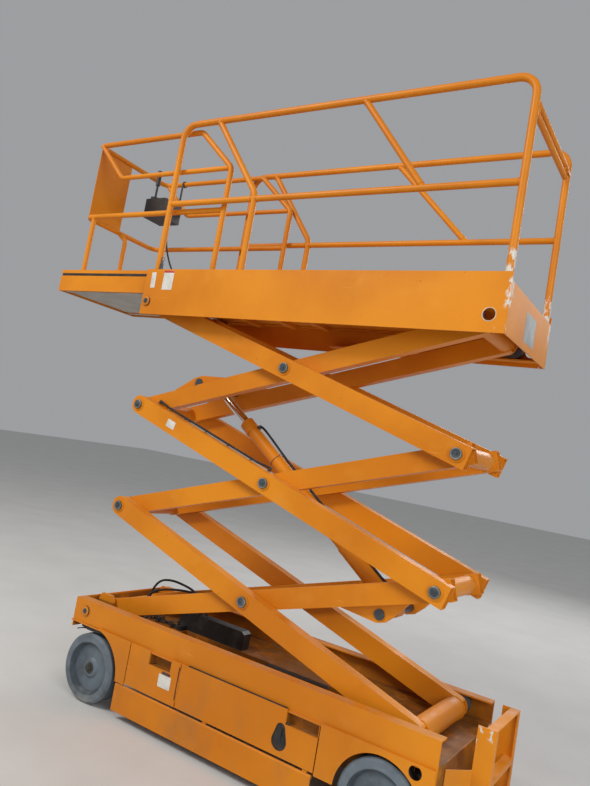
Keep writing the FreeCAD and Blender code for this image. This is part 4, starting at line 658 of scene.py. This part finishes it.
# body, cross tube's place along and up, its end from the middle, its radius
CROSS_WELDS = (
    ("inner_1", PIN_FRONT, LEVELS[0], INNER_END, TUBE),
    ("inner_1", PIN_REAR, LEVELS[2], INNER_END, TUBE),
    ("inner_2", PIN_FRONT, LEVELS[2], INNER_END, TUBE),
    ("inner_2", PIN_REAR, LEVELS[4], INNER_END, TUBE),
    ("inner_3", PIN_FRONT, LEVELS[4], INNER_END, TUBE),
    ("inner_3", PIN_REAR, DECK_LEVEL, INNER_END, TUBE),
    ("outer_1", PIN_REAR, LEVELS[0], OUTER_END, ROLLER_TUBE),
    ("outer_3", PIN_FRONT, DECK_LEVEL, OUTER_END, TUBE),
)


def add_arm_welds():
    """Beads round the ends of the arm frames' cross tubes."""
    for body in sorted({row[0] for row in CROSS_WELDS}):
        beads = Shape(f"tube_welds_{body}", "orange", body, "orange_paint")
        for rides, x, z, y, radius in CROSS_WELDS:
            if rides == body:
                for side in BOTH:
                    beads.weld_ring((x, side * y, z), (0, 1, 0), radius + 0.001)
        beads.finish()


# Main guard rails: from the middle, levels of the top and middle tubes and of the posts' feet.
RAIL_Y = 0.3775
RAIL_TOP = 3.4693
RAIL_MID = 2.9643
RAIL_FOOT = 2.4090
RAIL_FRONT = 0.698
RAIL_REAR = -1.430
# The extension's guard rail.
EXT_Y = 0.330
EXT_MID = 2.930
EXT_TOP = 3.190
EXT_FOOT = 2.4265
EXT_FRONT = 1.434
EXT_REAR = 0.311
# Distance of a bead from the middle of the tube that it stands on.
BEAD_REACH = 0.0185


def add_rail_welds():
    """Beads where a rail's tube ends on another. Rows hold a joint, the way out of it and a radius."""
    ahead, back = Vector((1, 0, 0)), Vector((-1, 0, 0))
    up = Vector(UP)
    # name, side, inner leg, its upper end, diagonal's upper and lower end
    for name, side, leg, leg_top, brace_top, brace_foot in (
        ("near", 1, 0.061, 0.426, -0.549, -0.954), ("far", -1, 0.156, 0.516, -0.419, -0.924),
    ):
        y = side * RAIL_Y
        lean = Vector((leg - leg_top, 0, RAIL_MID + 0.030 - RAIL_TOP)).normalized()
        brace = Vector((brace_foot - brace_top, 0, RAIL_MID - RAIL_TOP)).normalized()
        beads = Shape(f"rail_welds_{name}", "orange_rail", "platform", "orange_paint")
        rows = (
            ((RAIL_FRONT, y, RAIL_MID), back, 0.0175), ((RAIL_REAR, y, RAIL_MID), ahead, 0.0175),
            ((leg, y, RAIL_MID), ahead, 0.0175), ((leg, y, RAIL_MID), back, 0.0175),
            ((leg_top, y, RAIL_TOP), lean, 0.018), ((brace_top, y, RAIL_TOP), brace, 0.017),
            ((brace_foot, y, RAIL_MID), -brace, 0.017),
        )
        for joint, way, radius in rows:
            # A slanting tube leaves the other tube's skin further out.
            reach = BEAD_REACH / max(0.6, abs(way.z)) if abs(way.z) > 0.5 else BEAD_REACH
            beads.weld_ring(Vector(joint) + way * reach, way, radius, 0.003)
        for x in (RAIL_FRONT, RAIL_REAR, leg):
            beads.weld_ring((x, y, RAIL_FOOT), UP, 0.019, 0.003)
        beads.finish()
    beads = Shape("extension_welds", "orange", "extension", "orange_paint")
    for side in BOTH:
        y = side * EXT_Y
        # joint, way out of it, radius, distance from the joint
        rows = (
            ((EXT_REAR, y, EXT_MID), ahead, 0.0165, 0.017), ((EXT_REAR, y, EXT_TOP), ahead, 0.015, 0.017),
            ((EXT_FRONT, y, EXT_MID), -up, 0.016, 0.0165), ((EXT_FRONT, y, EXT_FOOT), up, 0.016, 0.0),
            ((EXT_REAR, y, EXT_FOOT), up, 0.017, 0.0),
        )
        for joint, way, radius, reach in rows:
            beads.weld_ring(Vector(joint) + way * reach, way, radius, 0.003)
    beads.weld_ring((EXT_FRONT, 0.030, EXT_FOOT), UP, 0.0155, 0.003)
    beads.finish()


# Outer face of a wheel's hub, from the middle.
HUB_FACE = 0.386


def add_hub_nuts():
    """Castle nut, washer and split pin in the middle of each wheel."""
    for wheel in ("front_near", "front_far", "rear_near", "rear_far"):
        body = f"wheel_{wheel}"
        axle = middle(f"disc_{wheel}")
        x, z, side = axle.x, axle.z, math.copysign(1, axle.y)
        nut = Shape(f"hub_nut_{body}", "dark_steel", body, "dark_steel")
        spot, way = (x, side * HUB_FACE, z), (0, side, 0)
        nut.lathe(spot, way, ((-0.0004, 0.031), (0.0022, 0.031), (0.0030, 0.0302)), sides=32)
        nut.lathe(spot, way, ((0.0026, 0.0215), (0.0095, 0.0215), (0.0103, 0.0200)), sides=6)
        nut.lathe(spot, way, ((0.0095, 0.0110), (0.0142, 0.0110), (0.0150, 0.0098)), sides=20)
        for step in range(6):
            angle = math.radians(30 + 60 * step)
            along, up = 0.0152 * math.cos(angle), 0.0152 * math.sin(angle)
            nut.block((x + along, side * (HUB_FACE + 0.0115), z + up), (0.0062, 0.0040, 0.0070),
                      turn=-angle, bevel=0.0008)
        split_pin = ((-0.024, 0.0118, 0.007), (-0.019, 0.0120, 0.0), (0.019, 0.0120, 0.0),
                     (0.025, 0.0115, -0.006))
        nut.rope([(x + along, side * (HUB_FACE + out), z + up) for along, out, up in split_pin],
                 [0.0014] * len(split_pin), 8)
        nut.finish()


# Faces that carry plates, from the middle, and the rear plate's and the box's.
PANEL_FACE = 0.4121
DECK_FACE = 0.4021
ARM_FACE = 0.3001
REAR_FACE = -1.4562
BOX_LID = 3.2401


def add_plates():
    """Blank plates and labels where the photograph shows them, without any marks."""
    back, along_arm = (-1, 0, 0), (-math.cos(SLOPE), 0, -math.sin(SLOPE))
    # name, material, body, centre, across, up, width, height, thickness
    rows = (
        ("cover_label", "white_label", "chassis", (0.0325, PANEL_FACE, 0.303), back, UP,
         0.085, 0.066, 0.0005),
        ("cover_label_band", "dark_label", "chassis", (0.0285, PANEL_FACE, 0.3445), back, UP,
         0.058, 0.016, 0.0005),
        ("deck_label", "white_label", "platform", (0.574, DECK_FACE, 2.470), back, UP,
         0.080, 0.104, 0.0005),
        ("deck_label_band", "red_plastic", "platform", (0.574, DECK_FACE, 2.5285), back, UP,
         0.080, 0.013, 0.0006),
        ("deck_strip", "white_label", "platform", (0.694, DECK_FACE, 2.476), (-1, 0, 0.05), (0.05, 0, 1),
         0.036, 0.096, 0.0005),
        ("arm_label", "white_label", "outer_2", (0.430, ARM_FACE, 1.6375), along_arm,
         (-math.sin(SLOPE), 0, math.cos(SLOPE)), 0.066, 0.046, 0.0005),
        ("rear_label", "grey_label", "platform", (REAR_FACE, 0.000, 2.375), (0, -1, 0), UP,
         0.190, 0.142, 0.0006),
        ("box_plate", "grey_label", "extension", (1.318, -0.190, BOX_LID), (0, -1, 0), (1, 0, 0),
         0.150, 0.095, 0.0008),
    )
    for name, material, body, centre, across, up, width, height, thick in rows:
        plate = Shape(name, material, body)
        plate.sheet(centre, across, up, width, height, thick)
        plate.finish()


def add_box_controls():
    """Switches, a knob and a stop button on top of the control box."""
    foot = BOX_LID + 0.0007
    dark = Shape("box_switches", "black_plastic", "extension", "black_case")
    for x, y in ((1.300, -0.160), (1.338, -0.160), (1.338, -0.215)):
        dark.lathe((x, y, foot), UP, ((0, 0.0085), (0.003, 0.0085), (0.004, 0.007)), sides=6)
        dark.lathe((x, y, foot + 0.0032), (0.25, 0, 1), (
            (0, 0.0022), (0.010, 0.0026), (0.018, 0.0042), (0.021, 0.0030)), sides=12)
    dark.lathe((1.300, -0.250, foot), UP, ((0, 0.011), (0.006, 0.011), (0.007, 0.009)))
    dark.block((1.300, -0.250, foot + 0.0152), (0.003, 0.012, 0.016), bevel=0.001)
    dark.finish()
    stop = Shape("stop_button", "red_plastic", "extension")
    stop.lathe((1.295, -0.208, foot), UP, (
        (0, 0.010), (0.009, 0.010), (0.010, 0.017), (0.014, 0.0185), (0.019, 0.0165), (0.022, 0.011),
        (0.023, 0.004),
    ), sides=28)
    stop.finish()


def add_cord_nuts():
    """Six-sided nuts on the glands at both ends of the cable and the hoses."""
    box_cable, *hoses = (row[-1] for row in CORDS)
    nuts = Shape("cable_nuts", "black_plastic", "extension", "black_case")
    for (x, y, _), low in ((box_cable[0], 3.0890), (box_cable[-1], 2.4268)):
        nuts.lathe((x, y, low), UP, ((0, 0.0135), (0.009, 0.0135)), sides=6)
    nuts.finish()
    ends = Shape("hose_nuts", "pin_steel", "chassis", "dark_steel")
    for hose in hoses:
        for (x, y, _), low in ((hose[0], TROUGH_FLOOR + 0.0010), (hose[-1], TROUGH_FLOOR + 0.1060)):
            ends.lathe((x, y, low), UP, ((0, 0.0155), (0.010, 0.0155), (0.011, 0.0145)), sides=6)
    ends.finish()


# Lift cylinder: the barrel's lower eye, the way up along it and its radius.
EYE = Vector((-1.0082, 0.0, 0.9183))
UP_THE_BARREL = Vector((0.8106, 0.0, 0.5856))
BARREL_RADIUS = 0.038


def add_cylinder_hose():
    """Hose clamped along the top of the barrel between two fittings, and the barrel's weld seams."""
    across = Vector((0, 1, 0))
    above = across.cross(UP_THE_BARREL) * -1
    hose = Shape("barrel_hose", "black_rubber", "lift_barrel", "cable_jacket")
    # distance along the barrel, height over its middle
    stops = ((0.105, 0.050), (0.125, 0.054), (0.160, 0.049), (0.62, 0.0475), (0.80, 0.0475),
             (1.00, 0.050), (1.180, 0.060), (1.240, 0.062), (1.270, 0.060), (1.290, 0.054))
    hose.rope([EYE + UP_THE_BARREL * along + above * away for along, away in stops],
              [0.0070] * len(stops), 12)
    hose.finish()
    fittings = Shape("barrel_fittings", "pin_steel", "lift_barrel", "dark_steel")
    for along in (0.105, 1.290):
        fittings.lathe(EYE + UP_THE_BARREL * along + above * (BARREL_RADIUS - 0.002), above, (
            (0, 0.013), (0.013, 0.013), (0.015, 0.011), (0.015, 0.0085), (0.022, 0.0085),
            (0.024, 0.0070)), sides=6)
    for along in (0.50, 0.82, 1.06):
        centre = EYE + UP_THE_BARREL * along
        steps = 40
        spots = []
        for step in range(steps):
            angle = math.tau * step / steps
            out = BARREL_RADIUS + 0.0012 + 0.0165 * max(0.0, math.cos(angle)) ** 14
            spots.append(centre + turned(above, across, out, angle))
        fittings.rope(spots, [0.0017] * steps, 6, closed=True)
    fittings.finish()
    seams = Shape("barrel_seams", "orange", "lift_barrel", "barrel_paint")
    for along in (0.42, 1.303):
        seams.weld_ring(EYE + UP_THE_BARREL * along, UP_THE_BARREL, BARREL_RADIUS + 0.0015, 0.003)
    seams.finish()


# Middle of the near outer arm's tube, across.
LINE_Y = 0.251


def add_arm_line():
    """Hose clipped along the top of the near outer arm of the second stack, with its end fittings."""
    ahead = Vector((math.cos(SLOPE), 0, math.sin(SLOPE)))
    above = Vector((-math.sin(SLOPE), 0, math.cos(SLOPE)))
    across = Vector((0, 1, 0))
    start = Vector((PIN_MIDDLE, LINE_Y, LEVELS[3])) + above * ARM_HALF
    line = Shape("arm_line", "black_rubber", "outer_2", "cable_jacket")
    # distance from the middle pin, height over the arm
    stops = ((0.035, 0.016), (0.070, 0.013), (0.120, 0.0075), (0.330, 0.0070), (0.540, 0.0075),
             (0.750, 0.0070), (0.860, 0.0080), (0.905, 0.014), (0.935, 0.017))
    line.rope([start + ahead * along + above * lift for along, lift in stops], [0.0062] * len(stops), 12)
    line.finish()
    clips = Shape("arm_line_clips", "dark_steel", "outer_2", "dark_steel")
    for along in (0.160, 0.340, 0.520, 0.700, 0.830):
        foot = start + ahead * along
        arch = [foot + above * 0.0075 + turned(across, above, 0.0072, angle)
                for angle in (-0.4, 0.2, 0.8, 1.4, 2.0, 2.6, 3.2, 3.6)]
        clips.rope(arch, [0.0012] * len(arch), 6)
        clips.hex_bolt(foot + across * 0.012, above, 0.0040, 0.0055)
    for along in (0.030, 0.940):
        clips.lathe(start + ahead * along, above, ((-0.0005, 0.0105), (0.010, 0.0105), (0.011, 0.0085),
                                                   (0.021, 0.0085), (0.022, 0.0070)), sides=6)
    clips.finish()


LATCH_X = -0.704


def add_latches():
    """Turning latch in each door's pear-shaped opening."""
    for name, side in SIDES:
        latch = Shape(f"latch_{name}", "black_plastic", f"door_{name}", "black_case")
        latch.block((LATCH_X, side * 0.4050, 0.297), (0.084, 0.002, 0.136), bevel=0.0009, segments=1)
        latch.lathe((LATCH_X, side * 0.4058, 0.272), (0, side, 0), (
            (0, 0.028), (0.0020, 0.028), (0.0028, 0.0265), (0.0028, 0.012), (0.0054, 0.0110),
            (0.0058, 0.0090)), sides=32)
        latch.block((LATCH_X, side * 0.4092, 0.301), (0.017, 0.0036, 0.062), bevel=0.0016)
        latch.finish()


def add_flaps_and_shadows():
    """Rubber flap over each steered wheel, under the beam's outer edge, which also paints the shadow in
    the gap between the beam and the wheel.
    """
    for name, side in SIDES:
        flap_and_shadow = Shape(f"wheel_flap_and_shadow_{name}", "black_rubber", "chassis", "cable_jacket")
        spots = ((0.752, 0.3760), (0.722, 0.3880), (0.690, 0.3955), (0.645, 0.3995), (0.600, 0.4005),
                 (0.555, 0.4010), (0.510, 0.4035))
        for (x0, z0), (x1, z1) in zip(spots, spots[1:]):
            length = math.hypot(x1 - x0, z1 - z0)
            flap_and_shadow.block(((x0 + x1) / 2, side * 0.382, (z0 + z1) / 2), (length + 0.002, 0.040, 0.006),
                       turn=-math.atan2(z1 - z0, x1 - x0), bevel=0.0010, segments=1)
        # Dark blocks hanging from the beam: rubber pads that also paint the shadow between the beam and
        # the wheel's top.
        for x, tall in ((0.700, 0.020), (0.655, 0.028), (0.610, 0.026), (0.560, 0.022)):
            flap_and_shadow.block((x, side * 0.3835, 0.4180 - tall / 2), (0.048, 0.032, tall), bevel=0.0015)
        flap_and_shadow.finish()


def add_strips():
    """Dark strips that paint the shadow in the groove and in the gaps round the doors, and the wear
    strips on the tunnel's walls.
    """
    deck_front, deck_side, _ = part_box("extension_deck")[1]
    door_front, _, door_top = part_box("tray_door_near")[1]
    # A dark strip along the groove paints the shadow in it.
    groove = Shape("groove_shadow", "black_rubber", "extension", "cable_jacket")
    depth = 0.0036
    groove_y, groove_z = deck_side - depth, 2.5205
    rear, front = 0.735, deck_front - 0.006
    for side in BOTH:
        groove.block(((rear + front) / 2, side * groove_y, groove_z), (front - rear, 0.0014, 0.0150),
                     bevel=0.0004, segments=1)
    groove.block((deck_front - depth, 0, groove_z), (0.0014, 2 * groove_y - 0.010, 0.0150),
                 bevel=0.0004, segments=1)
    groove.finish()
    for name, side in SIDES:
        # A dark strip on the door's top edge paints the shadow in the gap under the beam.
        gap_shadow = Shape(f"door_gap_shadow_{name}", "black_rubber", f"door_{name}", "cable_jacket")
        gap_shadow.block((-0.412, side * 0.4040, door_top + 0.0012), (0.612, 0.0130, 0.0026),
                   bevel=0.0005, segments=1)
        gap_shadow.finish()
        # A dark strip before the door's front edge paints the shadow in the gap there.
        edge = Shape(f"cover_gap_shadow_{name}", "black_rubber", "chassis", "cable_jacket")
        edge.block((door_front + 0.0065, side * PANEL_FACE, 0.322), (0.0060, 0.0012, 0.166),
                   bevel=0.0004, segments=1)
        edge.finish()
    for name, side in SIDES:
        strip = Shape(f"wear_strip_{name}", "grey_pad", "chassis", "grey_rubber")
        strip.block((-0.470, side * 0.0845, TROUGH_FLOOR - 0.010), (0.400, 0.0032, 0.0150),
                    bevel=0.0008, segments=1)
        strip.finish()


def add_hole_rings():
    """Worn pale edge round the access hole in each side of the deck."""
    for name, side in SIDES:
        ring = Shape(f"access_ring_{name}", "worn_edge", "platform", "orange_paint")
        ring.weld_ring((-1.376, side * 0.4015, 2.3483), (0, 1, 0), 0.0305, 0.0022, 0.003)
        ring.finish()


def add_trough_lines():
    """Three lines strapped to the trough's front floor, from their glands to a plug block."""
    # radius, then places along, across and over the floor
    routes = (
        (0.0062, ((0.602, -0.084, 0.018), (0.594, -0.083, 0.030), (0.574, -0.078, 0.022),
                  (0.545, -0.070, 0.009), (0.500, -0.082, 0.008), (0.455, -0.070, 0.011),
                  (0.415, -0.077, 0.009), (0.378, -0.084, 0.012))),
        (0.0048, ((0.612, -0.055, 0.018), (0.603, -0.056, 0.028), (0.580, -0.060, 0.019),
                  (0.548, -0.055, 0.007), (0.505, -0.064, 0.009), (0.460, -0.086, 0.021),
                  (0.420, -0.060, 0.010), (0.378, -0.064, 0.012))),
        (0.0036, ((0.583, -0.101, 0.018), (0.577, -0.099, 0.026), (0.560, -0.090, 0.016),
                  (0.530, -0.084, 0.018), (0.490, -0.066, 0.019), (0.440, -0.052, 0.006),
                  (0.410, -0.050, 0.006), (0.378, -0.048, 0.012))),
    )
    lines = Shape("trough_lines", "black_rubber", "chassis", "cable_jacket")
    fittings = Shape("trough_fittings", "dark_steel", "chassis", "dark_steel")
    for radius, stops in routes:
        lines.rope([(x, y, TROUGH_FLOOR + up) for x, y, up in stops], [radius] * len(stops), 12)
        x, y, up = stops[0]
        fittings.lathe((x, y, TROUGH_FLOOR), UP, (
            (0.0002, radius + 0.006), (0.008, radius + 0.006), (0.009, radius + 0.004),
            (up, radius + 0.003), (up + 0.001, radius + 0.0005)), sides=6)
    for x in (0.548, 0.428):
        fittings.block((x, -0.070, TROUGH_FLOOR + 0.0275), (0.012, 0.078, 0.0016),
                       bevel=0.0005, segments=1)
        for y in (-0.105, -0.035):
            fittings.lathe((x, y, TROUGH_FLOOR), UP, ((0.0002, 0.0045), (0.0265, 0.0045)), sides=16)
            fittings.hex_bolt((x, y, TROUGH_FLOOR + 0.0283), UP, 0.0030, 0.0050)
    lines.finish()
    fittings.finish()
    plugs = Shape("trough_plugs", "black_plastic", "chassis", "black_case")
    plugs.block((0.365, -0.067, TROUGH_FLOOR + 0.0122), (0.026, 0.064, 0.0236), bevel=0.0015)
    plugs.finish()


def add_extension_pin():
    """Spring pin beside the near front post that locks the extension deck."""
    x, y, rim = 0.664, 0.386, 2.5438
    pin = Shape("extension_pin", "pin_steel", "platform", "dark_steel")
    pin.lathe((x, y, rim), UP, (
        (-0.0300, 0.0100), (0, 0.0100), (0.001, 0.0125), (0.008, 0.0125), (0.009, 0.0095),
        (0.040, 0.0095), (0.042, 0.0060), (0.058, 0.0045), (0.060, 0.0035)), sides=20)
    ahead, steps = Vector((1, 0, 0)), 24
    ring = [Vector((x, y, rim + 0.0672)) + turned(ahead, Vector(UP), 0.013, math.tau * step / steps)
            for step in range(steps)]
    pin.rope(ring, [0.0017] * steps, 8, closed=True)
    pin.finish()


def add_details():
    """All the small forms."""
    for add in (
        add_pin_faces, add_arm_welds, add_rail_welds, add_hub_nuts, add_plates, add_box_controls,
        add_cord_nuts, add_cylinder_hose, add_arm_line, add_latches, add_flaps_and_shadows, add_strips,
        add_hole_rings, add_trough_lines, add_extension_pin,
    ):
        add()


# Floor and light.

def add_stage():
    """A plain pale floor."""
    mesh = bpy.data.meshes.new("floor")
    shape = bmesh.new()
    bmesh.ops.create_grid(shape, x_segments=1, y_segments=1, size=30)
    shape.to_mesh(mesh)
    shape.free()
    floor = bpy.data.objects.new("floor", mesh)
    scene.collection.objects.link(floor)
    look = Look("pale_floor", 0.8)
    look.colour(look.mix(look.noise(2, 0.3, 0.7), (0.62, 0.61, 0.59), (0.66, 0.65, 0.63)))
    mesh.materials.append(look.material)


def add_lamp(name, place, aim, size, power, colour=(1, 1, 1)):
    """A round soft lamp at a place, turned to what it lights."""
    data = bpy.data.lights.new(name, "AREA")
    data.shape = "DISK"
    data.size = size
    data.energy = power
    data.color = colour
    lamp = bpy.data.objects.new(name, data)
    towards = Vector(aim) - Vector(place)
    lamp.matrix_world = Matrix.Translation(place) @ towards.to_track_quat("-Z", "Y").to_matrix().to_4x4()
    scene.collection.objects.link(lamp)


def add_light():
    """Three soft lamps and an even pale sky."""
    add_lamp("key", (3.5, 6.0, 7.5), (0, 0, 1.8), 3.0, 450, (1.0, 0.96, 0.90))
    add_lamp("fill", (-6.0, 4.0, 3.5), (0, 0, 1.6), 4.0, 210, (0.92, 0.96, 1.0))
    add_lamp("rim", (-1.0, -7.0, 5.5), (0, 0, 2.0), 4.0, 210)
    world = bpy.data.worlds.new("world")
    scene.world = world
    world.use_nodes = True
    sky = world.node_tree.nodes["Background"].inputs
    sky["Color"].default_value = (0.80, 0.82, 0.85, 1)
    sky["Strength"].default_value = 0.42


add_cords()
add_details()
add_stage()
add_light()
scene.view_settings.view_transform = "Standard"
